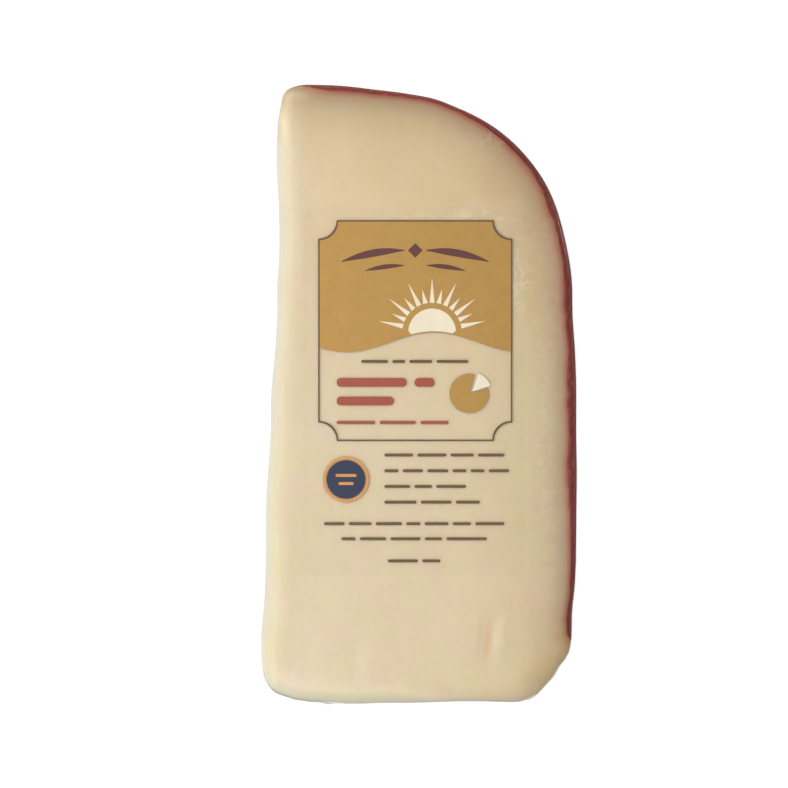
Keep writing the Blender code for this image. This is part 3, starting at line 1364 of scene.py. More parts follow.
@dataclass(frozen=True)
class FloorFinish:
    """A white matt sweep that gives off light, so that shadows on it stay faint.

    Gloss mirrors little of it, and only a share of its glow lights what stands on it.
    """

    colour: Colour = (0.32, 0.32, 0.32, 1.0)
    mirrored_colour: Colour = (0.12, 0.12, 0.12, 1.0)
    glow: float = 0.86
    mirrored_glow: float = 0.2
    spread_share: float = 0.7
    unevenness: float = 0.015
    patches_per_metre: float = 60.0
    roughness: float = 0.9

    def material(self) -> bpy.types.Material:
        """Builds the material."""
        graph = MaterialGraph("white_sweep")
        low = tuple(value * (1.0 - self.unevenness) for value in self.colour[:3])
        patches = graph.noise(graph.place(), self.patches_per_metre, 3.0)
        colour = graph.mix(patches, (*low, 1.0), self.colour)
        path = graph.add("LightPath")
        mirrored = path.outputs["Is Glossy Ray"]
        glow = graph.span(mirrored, 0.0, 1.0, self.glow, self.mirrored_glow)
        spread = graph.span(path.outputs["Is Diffuse Ray"], 0.0, 1.0, 1.0, self.spread_share)
        glow = graph.math("MULTIPLY", glow, spread)
        colour = graph.mix(mirrored, colour, self.mirrored_colour)
        shader = graph.add(
            "BsdfPrincipled",
            {
                "Base Color": colour,
                "Roughness": self.roughness,
                "Specular IOR Level": 0.0,
                "Emission Color": WHITE,
                "Emission Strength": glow,
            },
        )
        return graph.close(shader)


@dataclass(frozen=True)
class Cheese:
    """The paste and the rind, cut to one form under the film."""

    section: Section
    space: Space
    relief: Relief
    effects: Effects
    depth: float = 0.12 * MM
    rind_depth: float = 0.09 * MM
    overlap: float = 0.06 * MM
    # How far in the painted reflection and shade at the bare edges reach.
    painted_edge_light_reach: float = 3.0 * MM
    rind_step: float = 0.45 * MM
    rind_edge_rows: int = 8
    rind_side_rows: int = 20
    wall_spread: float = 0.25
    thinnest_rind: float = 0.02 * MM
    mark_shares: Pair = (0.8, 0.95)
    rimward_out: Pair = mm(105.0, 165.0)
    rim_out: Pair = mm(160.0, 168.5)
    tint_marks: tuple[Dent, ...] = Dent.rows(
        (34.9, 74.6, 0.6, 3.6, 0.40, -0.12),
        (10.1, 153.1, 0.3, 0.35, 0.6),
        (39.5, 80.0, 4.5, 5.5, 0.10, -0.4),
        (5.2, 169.1, 3.2, 0.6, 0.30),
        (48.0, 73.0, 0.6, 1.6, 0.45, 0.1),
        (44.9, 67.8, 0.6, 1.4, 0.40, -0.8),
    )
    ripe_and_painted_shade_marks: tuple[Dent, ...] = Dent.rows(
        (48.3, 74.6, 0.7, 0.6, 0.9),
        (44.4, 70.0, 2.4, 5.4, 0.42, -0.64),
        (33.5, 75.0, 0.5, 3.0, 0.16, -0.1),
        # The next three broad marks, by the shoulder and above the label, are painted shade, darker towards
        # the right.
        (42.6, 140.0, 3.2, 13.0, 0.19, 0.15),
        (36.5, 153.5, 5.0, 5.0, 0.15),
        (28.0, 149.5, 9.0, 3.0, 0.10),
        (37.4, 160.6, 0.7, 3.0, 0.22, 0.95),
        (31.2, 163.0, 0.5, 2.2, 0.20, 1.15),
        (43.6, 151.2, 0.6, 2.6, 0.20, 0.55),
        (2.6, 118.0, 1.8, 40.0, 0.07),
    )
    pale_and_painted_light_marks: tuple[Dent, ...] = Dent.rows(
        (37.4, 139.5, 1.4, 2.6, 0.28, 0.3),
        (38.4, 134.5, 1.0, 2.4, 0.24, -0.2),
        (30.6, 147.8, 1.6, 0.9, 0.26, 0.5),
        (36.6, 74.6, 0.8, 3.6, 0.26, -0.12),
        # The next two broad marks, at the bottom left and the upper left, are painted light.
        (2.0, 66.0, 8.0, 4.0, 0.42),
        (6.5, 157.5, 8.0, 8.0, 0.12),
        (1.5, 168.2, 3.0, 1.0, 0.25),
    )
    # Where the film's painted highlights go: on its wrinkles and in whitish patches of sheen.
    painted_film_sheen_marks: tuple[Dent, ...] = Dent.rows(
        (33.0, 146.5, 7.0, 2.6, 0.55, 0.1),
        (40.0, 136.5, 2.4, 8.0, 0.60, -0.1),
        (20.0, 147.5, 9.0, 1.6, 0.25),
        (37.0, 77.0, 4.0, 5.5, 0.30, -0.3),
        (36.0, 161.0, 4.0, 3.0, 0.25, 0.6),
        (28.0, 110.0, 16.0, 14.0, 0.10),
        (44.6, 112.0, 2.6, 34.0, 0.26),
        (5.0, 146.0, 2.6, 5.0, 0.26, 0.3),
    )
    # Where the painted light at the bare edges holds: fading towards the rind and the top, and weaker down
    # the side.
    painted_edge_light_across: Pair = mm(15.0, 40.0)
    painted_edge_light_out: Pair = mm(157.0, 172.0)
    painted_edge_light_drop: Pair = mm(0.5, 6.0)
    creamier_side: float = 0.5
    rim_edge_drop: Pair = mm(1.6, 6.0)
    ripe_edge_across: Pair = mm(35.0, 47.5)
    ripe_edge_out: Pair = mm(75.0, 84.0)
    ripe_edge_share: float = 0.55
    # Painted shade round the shoulder: the paste there is read as nearer the rind, so it comes out darker.
    shoulder_shade_place: Pair = mm(45.0, 152.0)
    shoulder_shade_reach: float = 14.0 * MM
    shoulder_shade_share: float = 0.30

    def build(self) -> list[bpy.types.Object]:
        """Makes the paste and the rind, with their finishes and their places in the frame."""
        return [self.paste(), self.rind()]

    def marks(self, marks: Iterable[Dent], flat: np.ndarray, share: np.ndarray) -> np.ndarray:
        """The strongest of some marks of the upper cut at each place, from 0 to 1."""
        total = np.zeros(len(flat))
        for mark in marks:
            total = np.maximum(total, mark.depth * mark.share(flat))
        return total * ease(share, *self.mark_shares)

    def from_rind(self, flat: np.ndarray) -> np.ndarray:
        """How far places are from the rind's inner border, taken as less round the shoulder so that painted
        shade darkens the paste there.

        Args:
            flat: the places, in the section.

        Returns:
            The distances.
        """
        outline = self.section.outline()
        held = outline.rind > self.rind_depth
        border = (outline.points - outline.outward * outline.rind[:, None])[held]
        shoulder_shade = bell(np.linalg.norm(flat - np.array(self.shoulder_shade_place), axis=-1), self.shoulder_shade_reach)
        return gaps_to(border, flat) * (1.0 - self.shoulder_shade_share * shoulder_shade)

    def paste(self) -> bpy.types.Object:
        """Makes the paste."""
        skin = Skin(self.section, self.space, self.relief, self.depth, self.overlap, short=112, long=220)
        piece, flat, share = skin.build("paste")
        across, out = flat[:, 0], flat[:, 1]
        outline = self.section.outline()
        bare = outline.points[outline.rind <= self.rind_depth]
        # Painted reflection and shade at the bare edges, strongest at the left and the bottom, weaker down
        # the side.
        by_edge = np.exp(-gaps_to(bare, flat) / self.painted_edge_light_reach)
        pale = by_edge * (1.0 - ease(across, *self.painted_edge_light_across)) * (1.0 - ease(out, *self.painted_edge_light_out))
        pale *= 1.0 - self.creamier_side * ease(self.space.cut_gap(flat, share), *self.painted_edge_light_drop)
        ripe = by_edge * ease(across, *self.ripe_edge_across) * (1.0 - ease(out, *self.ripe_edge_out))
        ripe_and_painted_shade_marks = self.marks(self.ripe_and_painted_shade_marks, flat, share)
        add_values(piece, "from_rind", self.from_rind(flat))
        add_values(piece, "rimward", ease(out, *self.rimward_out))
        add_values(piece, "by_painted_edge_light", pale)
        add_values(piece, "ripe", np.maximum(ripe * self.ripe_edge_share, ripe_and_painted_shade_marks))
        add_values(piece, "tint", self.marks(self.tint_marks, flat, share))
        add_values(piece, "pale", self.marks(self.pale_and_painted_light_marks, flat, share))
        add_values(piece, "painted_film_sheen", self.marks(self.painted_film_sheen_marks, flat, share))
        piece.data.materials.append(PasteFinish().material(self.effects))
        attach(piece, BODY)
        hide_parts("wedge")
        return piece

    def rind_rows(self, columns: Outline) -> tuple[list[Row], list[Row]]:
        """Sets out the rind's rows, each with its places, turns, outward directions and outness.

        Args:
            columns: the outline at the rind's columns.

        Returns:
            The rows of its outside, and those of its inner wall, both from the lower cut to the upper.
        """
        radius, width = columns.rounding - self.rind_depth, columns.rind - self.rind_depth
        outer: list[Row] = []
        for upper in (False, True):
            for row in range(self.rind_edge_rows + 1):
                step = self.rind_edge_rows - row if upper else row
                inset = width * (1.0 - math.sin(QUARTER * step / self.rind_edge_rows))
                edge = rounded(self.space, columns, radius, inset, self.rind_depth, upper)
                outer.append((*edge, 1.0 - inset / width))
            if not upper:
                sides = side_rows(self.space, columns, outer[-1], self.rind_side_rows)
                outer += [(*side, np.ones(len(width))) for side in sides]
        inside_line = columns.points - columns.outward * columns.rind[:, None]
        turns = np.array([row[1] for row in outer])
        even = turns[0] + (turns[-1] - turns[0]) * np.linspace(0.0, 1.0, len(outer))[:, None]
        turns += self.wall_spread * (even - turns)
        none = np.zeros(len(width))
        return outer, [(inside_line, turns[i], outer[i][2], none) for i in range(1, len(outer) - 1)]

    def rind(self) -> bpy.types.Object:
        """Makes the rind: a coat over the rim and the flat face, with an inner wall against the paste."""
        outline = self.section.outline()
        held = outline.length[outline.rind > self.rind_depth + self.thinnest_rind]
        start, end = float(held.min()), float(held.max())
        count = round((end - start) / self.rind_step)
        outer, wall = self.rind_rows(outline.at(np.linspace(start, end, count + 1)))
        rows = outer + wall[::-1]
        flat, turn, normal, outness = (np.array([row[part] for row in rows]) for part in range(4))
        places = self.space.place(flat, turn)
        share = turn / self.space.wedge_angle
        places = places + normal * self.relief.height(places, flat, share)[..., None]
        places += self.relief.fall(self.space, share, outline.gap(flat))
        places[..., 2] = np.maximum(places[..., 2], self.rind_depth)
        numbers = np.arange(flat.shape[0] * flat.shape[1]).reshape(flat.shape[:2])
        faces = ring_faces(np.concatenate((numbers, numbers[:1])), closed=False).tolist()
        for column, flip in ((0, False), (-1, True)):
            faces += end_faces(numbers[:, column], len(outer) - 1, flip)
        piece = add_mesh("rind", places.reshape(-1, 3), faces)
        add_values(piece, "outness", outness.reshape(-1))
        at_rim = ease(flat[..., 1], *self.rim_out)
        at_rim *= 1.0 - ease(self.space.cut_gap(flat, share), *self.rim_edge_drop)
        add_values(piece, "at_rim", at_rim.reshape(-1))
        piece.data.materials.append(RindFinish().material(self.effects))
        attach(piece, BODY)
        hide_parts("wedge")
        return piece


@dataclass(frozen=True)
class Film:
    """The clear film, shrunk tight round the cheese, with a few fine creases."""

    section: Section
    space: Space
    relief: Relief
    effects: Effects
    creases: tuple[Crease, ...] = (
        Crease(mm(-2.6, 80.6), mm(0.3, 84.3), 0.10 * MM, 0.9 * MM),
        Crease(mm(0.6, 166.2), mm(3.6, 162.8), 0.05 * MM, 0.9 * MM),
        Crease(mm(1.2, 67.6), mm(5.2, 71.8), 0.06 * MM, 1.0 * MM),
        Crease(mm(45.2, 70.4), mm(41.6, 74.4), 0.06 * MM, 1.0 * MM),
    )
    gathers: tuple[Gather, ...] = (
        Gather(9.0 * MM, 170.0 * MM, 6.0 * MM, 9, 0.24 * MM),
        Gather(30.0 * MM, 165.5 * MM, 5.0 * MM, 6, 0.20 * MM),
        Gather(47.0 * MM, 147.0 * MM, 4.0 * MM, 3, 0.10 * MM),
        Gather(50.1 * MM, 86.0 * MM, 5.0 * MM, 3, 0.07 * MM),
        Gather(45.5 * MM, 67.0 * MM, 3.0 * MM, 4, 0.12 * MM),
        Gather(8.0 * MM, 63.8 * MM, 6.0 * MM, 7, 0.14 * MM),
        Gather(-3.5 * MM, 78.0 * MM, 6.0 * MM, 4, 0.07 * MM),
        Gather(-1.4 * MM, 158.0 * MM, 5.0 * MM, 4, 0.07 * MM),
    )
    seed: int = 31
    finish: ClearFinish = ClearFinish(
        "clear_film", (0.995, 0.995, 0.995, 1.0), 1.4, 0.15, 0.03 * MM, 0.009 * MM
    )

    def build(self) -> list[bpy.types.Object]:
        """Makes the film."""
        rng, outline = np.random.default_rng(self.seed), self.section.outline()
        folds = [fold for gather in self.gathers for fold in gather.folds(outline, rng)]
        skin = Skin(self.section, self.space, self.relief, 0.0, None, short=116, long=230)
        piece, _, _ = skin.build("film", self.creases, folds)
        piece.data.materials.append(self.finish.material(self.effects))
        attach(piece, BODY)
        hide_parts("wedge")
        return [piece]


def inside(loop: np.ndarray, points: np.ndarray) -> np.ndarray:
    """Which points lie inside a closed line.

    Args:
        loop: the line's points.
        points: the points to test.

    Returns:
        True for each point inside.
    """
    result = np.zeros(len(points), bool)
    for (ax, ay), (bx, by) in zip(loop, np.roll(loop, -1, axis=0)):
        crosses = (ay > points[:, 1]) != (by > points[:, 1])
        if ay != by:
            result ^= crosses & (points[:, 0] < (bx - ax) * (points[:, 1] - ay) / (by - ay) + ax)
    return result


def box_loop(low: Pair, high: Pair, corner: float, scooped: bool = False) -> np.ndarray:
    """The outline of a box with rounded or scooped corners, anticlockwise.

    Args:
        low, high: the box's opposite corners.
        corner: radius of its corners.
        scooped: whether the corners curve inward.

    Returns:
        The outline's points.
    """
    loop = []
    for number, (x, y) in enumerate(((high[0], low[1]), high, (low[0], high[1]), low)):
        toward = np.sign((x - (low[0] + high[0]) / 2, y - (low[1] + high[1]) / 2))
        centre, angles = np.array((x, y)), (number - 1) * QUARTER + CORNER_STEPS
        if scooped:
            angles = math.pi + (number - 1) * QUARTER + QUARTER - CORNER_STEPS
        else:
            centre = centre - toward * corner
        loop.append(centre + corner * np.stack((np.cos(angles), np.sin(angles)), axis=-1))
    return np.concatenate(loop)


def circle_loop(centre: Pair, radius: float, start: float = 0.0, end: float = TURN) -> np.ndarray:
    """A circle, or the part of it between two angles, as a closed line.

    Args:
        centre, radius: the circle.
        start, end: the angles, in radians.

    Returns:
        The line's points.
    """
    whole = end - start > TURN - 0.001
    count = max(8, round(CIRCLE_POINTS * (end - start) / TURN))
    angles = np.linspace(start, end, count, endpoint=not whole)
    return np.array(centre) + radius * np.stack((np.cos(angles), np.sin(angles)), axis=-1)


def sector(centre: Pair, radius: float, start: float, end: float) -> np.ndarray:
    """The closed line round a slice of a disc, between two angles in degrees."""
    arc = circle_loop(centre, radius, math.radians(start), math.radians(end))
    return np.concatenate((arc, np.array([centre])))


@dataclass(frozen=True)
class Sheet:
    """A thin closed solid that lies on the film of the upper cut and follows its unevenness.

    Attributes:
        low, high: heights of its two sides above the film's plain form.
        spacing: how close its corners lie.
    """

    space: Space
    relief: Relief
    low: float
    high: float
    spacing: float = 0.9 * MM
    rim_margin: float = 0.45

    def holds(self, rims: Sequence[np.ndarray], points: np.ndarray) -> np.ndarray:
        """Which points lie inside the first line and outside the others."""
        kept = inside(rims[0], points)
        for hole in rims[1:]:
            kept &= ~inside(hole, points)
        return kept

    def fill(self, loops: Sequence[np.ndarray]) -> tuple[np.ndarray, list[list[int]]]:
        """Fills the room in a closed line, less its holes, with triangles.

        Args:
            loops: the outer line and its holes, in the label's own places.

        Returns:
            The corners and the triangles.
        """
        rims = []
        for loop in loops:
            steps = np.linalg.norm(np.roll(loop, -1, axis=0) - loop, axis=1)
            parts = []
            for point, after, step in zip(loop, np.roll(loop, -1, axis=0), steps):
                count = max(1, math.ceil(step / self.spacing))
                parts.append(point + (after - point) * (np.arange(count) / count)[:, None])
            rims.append(np.concatenate(parts))
        low, high = rims[0].min(axis=0), rims[0].max(axis=0)
        marks = (np.arange(a + self.spacing / 2, b, self.spacing) for a, b in zip(low, high))
        grid = np.stack(np.meshgrid(*marks, indexing="ij"), axis=-1).reshape(-1, 2)
        grid = grid[self.holds(rims, grid)]
        rim_points = np.concatenate(rims)
        if len(grid):
            gap = np.sqrt(((grid[:, None] - rim_points[None]) ** 2).sum(axis=2).min(axis=1))
            grid = grid[gap > self.rim_margin * self.spacing]
        edges, first = [], 0
        for rim in rims:
            edges += [(first + i, first + (i + 1) % len(rim)) for i in range(len(rim))]
            first += len(rim)
        points = np.concatenate((rim_points, grid)) / MM
        result = delaunay_2d_cdt([Vector(p) for p in points.tolist()], edges, [], 0, 1e-6)
        corners = np.array([tuple(v) for v in result[0]]) * MM
        triangles = np.array([tuple(face) for face in result[2]])
        kept = self.holds(rims, corners[triangles].mean(axis=1))
        return corners, triangles[kept].tolist()

    def solid(self, name: str, shapes: Sequence[Sequence[np.ndarray]]) -> bpy.types.Object:
        """Makes one piece of several shapes.

        Args:
            name: the piece's name.
            shapes: for each shape its outer line and its holes, from the label's middle.

        Returns:
            The piece.
        """
        places, faces, first = [], [], 0
        for loops in shapes:
            points, triangles = self.fill(loops)
            turned = [t if area(points[t]) > 0 else t[::-1] for t in triangles]
            sides = [(t[i], t[(i + 1) % 3]) for t in turned for i in range(3)]
            rim = set(sides) - {(b, a) for a, b in sides}
            count = len(points)
            places += [self.lay(points, self.high), self.lay(points, self.low)]
            faces += [[first + i for i in t] for t in turned]
            faces += [[first + count + i for i in reversed(t)] for t in turned]
            faces += [[first + a, first + count + a, first + count + b, first + b] for a, b in sorted(rim)]
            first += 2 * count
        return add_mesh(name, np.concatenate(places), faces, smooth=False)

    def lay(self, points: np.ndarray, height: float) -> np.ndarray:
        """Lays the label's own places on the film.

        Args:
            points: places from the label's middle.
            height: how far above the film they lie.

        Returns:
            The places in the frame.
        """
        flat = points + np.array(self.relief.label_centre)
        turn = np.full(len(flat), self.space.wedge_angle)
        places = self.space.place(flat, turn)
        rise = self.relief.height(places, flat, np.ones(len(flat))) + height
        return places + self.space.cut_normal(True) * rise[:, None]


def area(corners: np.ndarray) -> float:
    """Twice the area of a flat face, positive when its corners run anticlockwise."""
    x, y = corners[:, 0], corners[:, 1]
    return float(np.dot(x, np.roll(y, -1)) - np.dot(y, np.roll(x, -1)))


@dataclass(frozen=True)
class Print:
    """The label's print: a gold field with a rising sun, in a thin frame, over rows of plain bars.

    Every place and size is in the label's own plane, from its middle.

    Attributes:
        ray_span, sun_span: where the rays and the sun's rim start and end, in degrees.
        strokes: for both pairs of strokes their height on the label, their reach to the sides and their
            thickness, in millimetres like the next two.
        stroke_inner, stroke_middle: where the strokes start and what they lie round.
        stroke_sag: how far the strokes' line falls at a reach of one millimetre.
        bar_rows: the left and right ends and the height on the label of each row of bars.
        red_bars, badge_bars: the same for single bars, with how tall they are.
        badge_radii: the badge's disc, and its ring's inside and outside.
    """

    frame_low: Pair = mm(-16.4, -8.6)
    frame_high: Pair = mm(17.0, 29.4)
    frame_scoop: float = 3.2 * MM
    frame_line: float = 0.26 * MM
    horizon: float = 8.4 * MM
    horizon_swell: float = 1.7 * MM
    sun_centre: float = 3.2 * MM
    sun_radius: float = 4.1 * MM
    sun_span: Pair = (4.0, 176.0)
    sun_foot: float = 0.2 * MM
    hill_shift: float = 4.0 * MM
    hill_width: float = 15.0 * MM
    ray_start: float = 5.1 * MM
    ray_ends: Pair = mm(9.4, 7.6)
    ray_span: Pair = (12.0, 168.0)
    rays: int = 13
    ray_half_width: float = 0.42 * MM
    wheel_centre: Pair = mm(9.6, -0.4)
    wheel_radius: float = 3.4 * MM
    slice_centre: Pair = mm(10.1, -0.1)
    slice_radius: float = 3.3 * MM
    badge_centre: Pair = mm(-11.6, -15.2)
    badge_radii: tuple[float, ...] = mm(3.3, 3.45, 3.95)
    strokes: tuple[tuple[float, ...], ...] = ((24.2, 12.6, 1.3), (21.6, 8.6, 0.8))
    stroke_inner: float = 1.9
    stroke_sag: float = 0.012
    stroke_middle: float = 0.3
    diamond: float = 1.25 * MM
    bar_height: float = 0.5 * MM
    word_gap: float = 0.75 * MM
    word_lengths: Pair = mm(2.2, 5.6)
    shortest_start: float = 1.6 * MM
    shortest_rest: float = 2.4 * MM
    bar_rows: tuple[tuple[float, ...], ...] = (
        mm(-5.0, 15.6, -11.0),
        mm(-5.0, 16.4, -13.7),
        mm(-5.0, 9.0, -16.4),
        mm(-5.0, 11.4, -19.1),
        mm(-15.4, 15.6, -22.8),
        mm(-12.4, 12.6, -25.4),
        mm(-4.4, 4.6, -29.2),
        mm(-9.0, 9.4, 5.1),
    )
    red_bars: tuple[tuple[float, ...], ...] = (
        mm(-13.2, -1.2, 1.5, 1.5),
        mm(-13.2, -3.4, -1.7, 1.5),
        mm(0.2, 3.6, 1.5, 1.5),
        mm(-13.2, -6.6, -5.4, 0.55),
        mm(-5.8, 0.4, -5.4, 0.55),
        mm(1.2, 6.0, -5.4, 0.55),
    )
    badge_bars: tuple[tuple[float, ...], ...] = (mm(-13.4, -9.8, -14.5, 0.5), mm(-12.9, -10.3, -15.9, 0.5))
    seed: int = 5

    def horizon_at(self, across: np.ndarray) -> np.ndarray:
        """The height of the field's lower edge, two low hills."""
        turn = (across + self.hill_shift) * math.pi / self.hill_width
        return self.horizon + self.horizon_swell * np.sin(turn)

    def bar(self, left: float, right: float, middle: float, height: float) -> list[np.ndarray]:
        """A plain bar with round ends."""
        half = height / 2
        return [box_loop((left, middle - half), (right, middle + half), half * 0.9)]

    def words(
        self, rng: np.random.Generator, left: float, right: float, middle: float, height: float
    ) -> list[list[np.ndarray]]:
        """A row of bars, broken like words.

        Args:
            rng: where the lengths are drawn from.
            left, right: the row's ends.
            middle: its height on the label.
            height: how tall its bars are.

        Returns:
            The bars' shapes.
        """
        shapes, place = [], left
        while place < right - self.shortest_start:
            length = min(rng.uniform(*self.word_lengths), right - place)
            if right - place - length < self.shortest_rest:
                length = right - place
            shapes.append(self.bar(place, place + length, middle, height))
            place += length + self.word_gap
        return shapes

    def gold(self) -> list[list[np.ndarray]]:
        """The gold field down to the hills, and the rim of the small wheel."""
        inset = self.frame_line * 0.6
        low, high = np.array(self.frame_low) + inset, np.array(self.frame_high) - inset
        plaque = box_loop(tuple(low), tuple(high), self.frame_scoop, scooped=True)
        upper = plaque[len(CORNER_STEPS) : 3 * len(CORNER_STEPS)]
        edge = np.linspace(low[0], high[0], 60)
        field = np.concatenate((np.stack((edge, self.horizon_at(edge)), axis=-1), upper))
        return [[field], [sector(self.wheel_centre, self.wheel_radius, 75.0, 375.0)]]

    def white(self) -> list[list[np.ndarray]]:
        """The half sun on the hills, its rays, and the wheel's cut-out wedge."""
        base = float(self.horizon_at(np.array(self.sun_centre)))
        angles = np.radians(np.linspace(*self.sun_span, 30))
        rim = np.stack((np.cos(angles), np.sin(angles)), axis=-1) * self.sun_radius + (self.sun_centre, base)
        edge = np.linspace(self.sun_centre - self.sun_radius, self.sun_centre + self.sun_radius, 16)
        foot = np.stack((edge, self.horizon_at(edge) + self.sun_foot), axis=-1)[1:-1]
        shapes = [[np.concatenate((rim, foot))]]
        for number, angle in enumerate(np.radians(np.linspace(*self.ray_span, self.rays))):
            heading = np.array((math.cos(angle), math.sin(angle)))
            side = np.array((-heading[1], heading[0])) * self.ray_half_width
            centre, end = np.array((self.sun_centre, base)), self.ray_ends[number % 2]
            near, far = centre + heading * self.ray_start, centre + heading * end
            shapes.append([np.array((near - side, far, near + side))])
        shapes.append([sector(self.slice_centre, self.slice_radius, 18.0, 72.0)])
        return shapes

    def brown(self) -> list[list[np.ndarray]]:
        """The frame's line and the rows of bars below it."""
        rng = np.random.default_rng(self.seed)
        outer = box_loop(self.frame_low, self.frame_high, self.frame_scoop, scooped=True)
        line = self.frame_line
        low = (self.frame_low[0] + line, self.frame_low[1] + line)
        high = (self.frame_high[0] - line, self.frame_high[1] - line)
        shapes = [[outer, box_loop(low, high, self.frame_scoop, scooped=True)]]
        for left, right, middle in self.bar_rows:
            shapes += self.words(rng, left, right, middle, self.bar_height)
        return shapes

    def maroon(self) -> list[list[np.ndarray]]:
        """Two tapered strokes with a diamond between them, over and under the sun's rays."""
        shapes = []
        for middle, reach, height in self.strokes:
            for side in (-1.0, 1.0):
                share = np.linspace(0.0, 1.0, 14)
                out = self.stroke_inner + (reach - self.stroke_inner) * share
                across = (self.stroke_middle + side * out) * MM
                arch = (middle - self.stroke_sag * (reach * share) ** 2) * MM
                half = 0.5 * height * np.sin(math.pi * np.clip(share, 0.03, 0.97)) ** 0.8 * MM
                top, bottom = (np.stack((across, arch + move), axis=-1) for move in (half, -half))
                shapes.append([np.concatenate((top, bottom[::-1]))])
            if height > 1.0:
                centre = np.array(mm(self.stroke_middle, middle))
                corners = np.array(((1.0, 0.0), (0.0, 1.0), (-1.0, 0.0), (0.0, -1.0)))
                shapes.append([centre + self.diamond * corners])
        return shapes

    def red(self) -> list[list[np.ndarray]]:
        """Two bold rows and a fine one beside the small wheel."""
        return [self.bar(*sizes) for sizes in self.red_bars]

    def navy(self) -> list[list[np.ndarray]]:
        """The round badge's disc."""
        return [[circle_loop(self.badge_centre, self.badge_radii[0])]]

    def orange(self) -> list[list[np.ndarray]]:
        """The badge's ring, and its two bars."""
        ring = [circle_loop(self.badge_centre, radius) for radius in self.badge_radii[:0:-1]]
        return [ring, *(self.bar(*sizes) for sizes in self.badge_bars)]

    def shapes(self, ink: Ink) -> list[list[np.ndarray]]:
        """The shapes that one ink prints."""
        makers = (self.gold, self.white, self.brown, self.maroon, self.red, self.navy, self.orange)
        return dict(zip(Ink, makers))[ink]()


@dataclass(frozen=True)
class Label:
    """The clear label stuck on the film of the upper cut, with its print."""

    space: Space
    relief: Relief
    effects: Effects
    corner: float = 2.0 * MM
    lift: float = 0.03 * MM
    thickness: float = 0.07 * MM
    ink_gap: float = 0.002 * MM
    ink_step: float = 0.012 * MM
    carrier: ClearFinish = ClearFinish(
        "clear_label", (0.997, 0.996, 0.994, 1.0), 1.25, 0.3, 0.03 * MM, 0.003 * MM
    )
    inks: tuple[tuple[Ink, InkFinish], ...] = (
        (Ink.GOLD, InkFinish("gold_ink", paint(186, 143, 69), grain=0.07, shades=(1.04, 0.88))),
        (Ink.WHITE, InkFinish("white_ink", paint(238, 226, 200))),
        (Ink.BROWN, InkFinish("brown_ink", paint(104, 80, 48))),
        (Ink.MAROON, InkFinish("maroon_ink", paint(96, 50, 46))),
        (Ink.RED, InkFinish("red_ink", paint(164, 78, 56))),
        (Ink.NAVY, InkFinish("navy_ink", paint(37, 46, 74))),
        (Ink.ORANGE, InkFinish("orange_ink", paint(214, 150, 84))),
    )

    def build(self) -> list[bpy.types.Object]:
        """Makes the clear carrier and one piece for each ink."""
        top, half = self.lift + self.thickness, self.relief.label_half
        carrier = Sheet(self.space, self.relief, self.lift, top)
        piece = carrier.solid("label", [[box_loop((-half[0], -half[1]), half, self.corner)]])
        piece.data.materials.append(self.carrier.material(self.effects))
        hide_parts("label")
        pieces, art = [piece], Print()
        for ink, finish in self.inks:
            height = top + self.ink_step * ink.value
            sheet = Sheet(self.space, self.relief, top + self.ink_gap, height)
            printed = sheet.solid(f"print_{ink.name.lower()}", art.shapes(ink))
            printed.data.materials.append(finish.material(self.effects))
            pieces.append(printed)
        for made in pieces:
            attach(made, BODY)
        return pieces


@dataclass(frozen=True)
class SoftLight:
    """A square soft light that faces the wedge."""

    name: str
    place: tuple[float, float, float]
    size: float
    power: float
    colour: tuple[float, float, float]


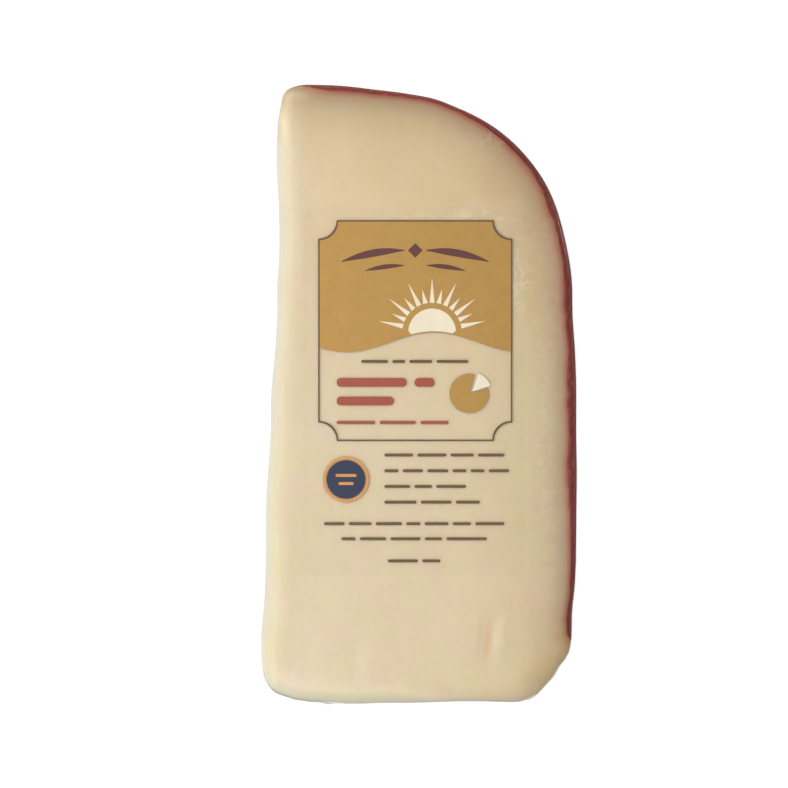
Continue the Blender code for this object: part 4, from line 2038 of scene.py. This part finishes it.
@dataclass(frozen=True)
class Studio:
    """A white sweep, soft light, and a camera that looks straight down on the upper cut."""

    space: Space
    view_centre: Pair = mm(18.75, 116.8)
    distance: float = 640.0 * MM
    sensor: float = 36.0
    sky_low: float = 0.4
    sky_high: float = 0.86
    sky_seen: float = 1.0
    floor_half: float = 3.0
    lights: tuple[SoftLight, ...] = (
        SoftLight("key", (-0.72, -0.12, 0.8), 1.3, 7.6, (1.0, 0.985, 0.965)),
        SoftLight("tip", (-0.65, -0.85, 0.24), 0.4, 1.1, (1.0, 1.0, 1.0)),
        SoftLight("flat_face", (1.0, 0.25, 0.2), 0.1, 0.45, (1.0, 1.0, 1.0)),
        SoftLight("rim", (-0.2, 1.0, 0.3), 0.1, 0.4, (1.0, 1.0, 1.0)),
    )

    def build(self) -> list[bpy.types.Object]:
        """Makes the floor, the light and the camera.

        Returns:
            The floor.
        """
        scene = bpy.context.scene
        scene.view_settings.view_transform = "Standard"
        scene.view_settings.look = "None"
        self.make_camera()
        self.make_lights()
        return [self.make_floor()]

    def make_camera(self) -> None:
        """Puts the camera over the upper cut, so that one pixel of the photograph is one of the render."""
        normal = Vector(self.space.cut_normal(True))
        flat = np.array(self.view_centre)
        target = Vector(self.space.place(flat, np.array(self.space.wedge_angle)))
        data = bpy.data.cameras.new("camera")
        data.sensor_width = self.sensor
        data.lens = self.sensor * self.distance / (PHOTO_PIXELS * PIXEL)
        data.clip_start = 0.01
        camera = bpy.data.objects.new("camera", data)
        upward = Vector((0.0, normal.z, -normal.y))
        axes = Matrix((upward.cross(normal), upward, normal)).transposed()
        camera.matrix_world = Matrix.Translation(target + normal * self.distance) @ axes.to_4x4()
        bpy.context.scene.collection.objects.link(camera)
        bpy.context.scene.camera = camera

    def make_lights(self) -> None:
        """Makes the surroundings, brighter overhead than at the horizon, and the soft lights."""
        world = bpy.data.worlds.new("surroundings")
        world.use_nodes = True
        graph, background = Graph(world.node_tree), world.node_tree.nodes["Background"]
        background.inputs["Color"].default_value = WHITE
        heading = graph.add("SeparateXYZ", {0: graph.add("TexCoord").outputs["Generated"]})
        sky = graph.span(heading.outputs[2], 0.0, 1.0, self.sky_low, self.sky_high)
        seen = graph.add("LightPath").outputs["Is Camera Ray"]
        strength = graph.add("Mix", {0: seen, 2: sky, 3: self.sky_seen}, data_type="FLOAT").outputs[0]
        graph.tree.links.new(strength, background.inputs["Strength"])
        bpy.context.scene.world = world
        for light in self.lights:
            data = bpy.data.lights.new(light.name, "AREA")
            data.size = light.size
            data.energy = light.power
            data.color = light.colour
            lamp = bpy.data.objects.new(light.name, data)
            place = Vector(light.place)
            lamp.matrix_world = Matrix.Translation(place) @ place.to_track_quat("Z", "Y").to_matrix().to_4x4()
            bpy.context.scene.collection.objects.link(lamp)

    def make_floor(self) -> bpy.types.Object:
        """Makes the sweep that the wedge lies on.

        Returns:
            The floor.
        """
        steps = np.linspace(-self.floor_half, self.floor_half, 13)
        grid = np.stack(np.meshgrid(steps, steps, indexing="ij"), axis=-1).reshape(-1, 2)
        places = np.concatenate((grid, np.zeros((len(grid), 1))), axis=1)
        numbers = np.arange(len(grid)).reshape(len(steps), len(steps))
        quads = np.stack((numbers[:-1, :-1], numbers[1:, :-1], numbers[1:, 1:], numbers[:-1, 1:]), axis=-1)
        floor = add_mesh("floor", places, quads.reshape(-1, 4))
        floor.data.materials.append(FloorFinish().material())
        return floor


def main() -> None:
    """Builds the cheese, its film, its label and the studio, and reports each piece."""
    logging.basicConfig(level=logging.INFO, format="%(message)s")
    section, relief, effects = Section(), Relief(), Effects()
    space = Space.of_node(section, "wedge", WEDGE_ANGLE)
    makers = (
        Cheese(section, space, relief, effects),
        Film(section, space, relief, effects),
        Label(space, relief, effects),
        Studio(space),
    )
    for maker in makers:
        for piece in maker.build():
            LOG.info("%s: %d faces", piece.name, len(piece.data.polygons))


if __name__ == "__main__":
    main()
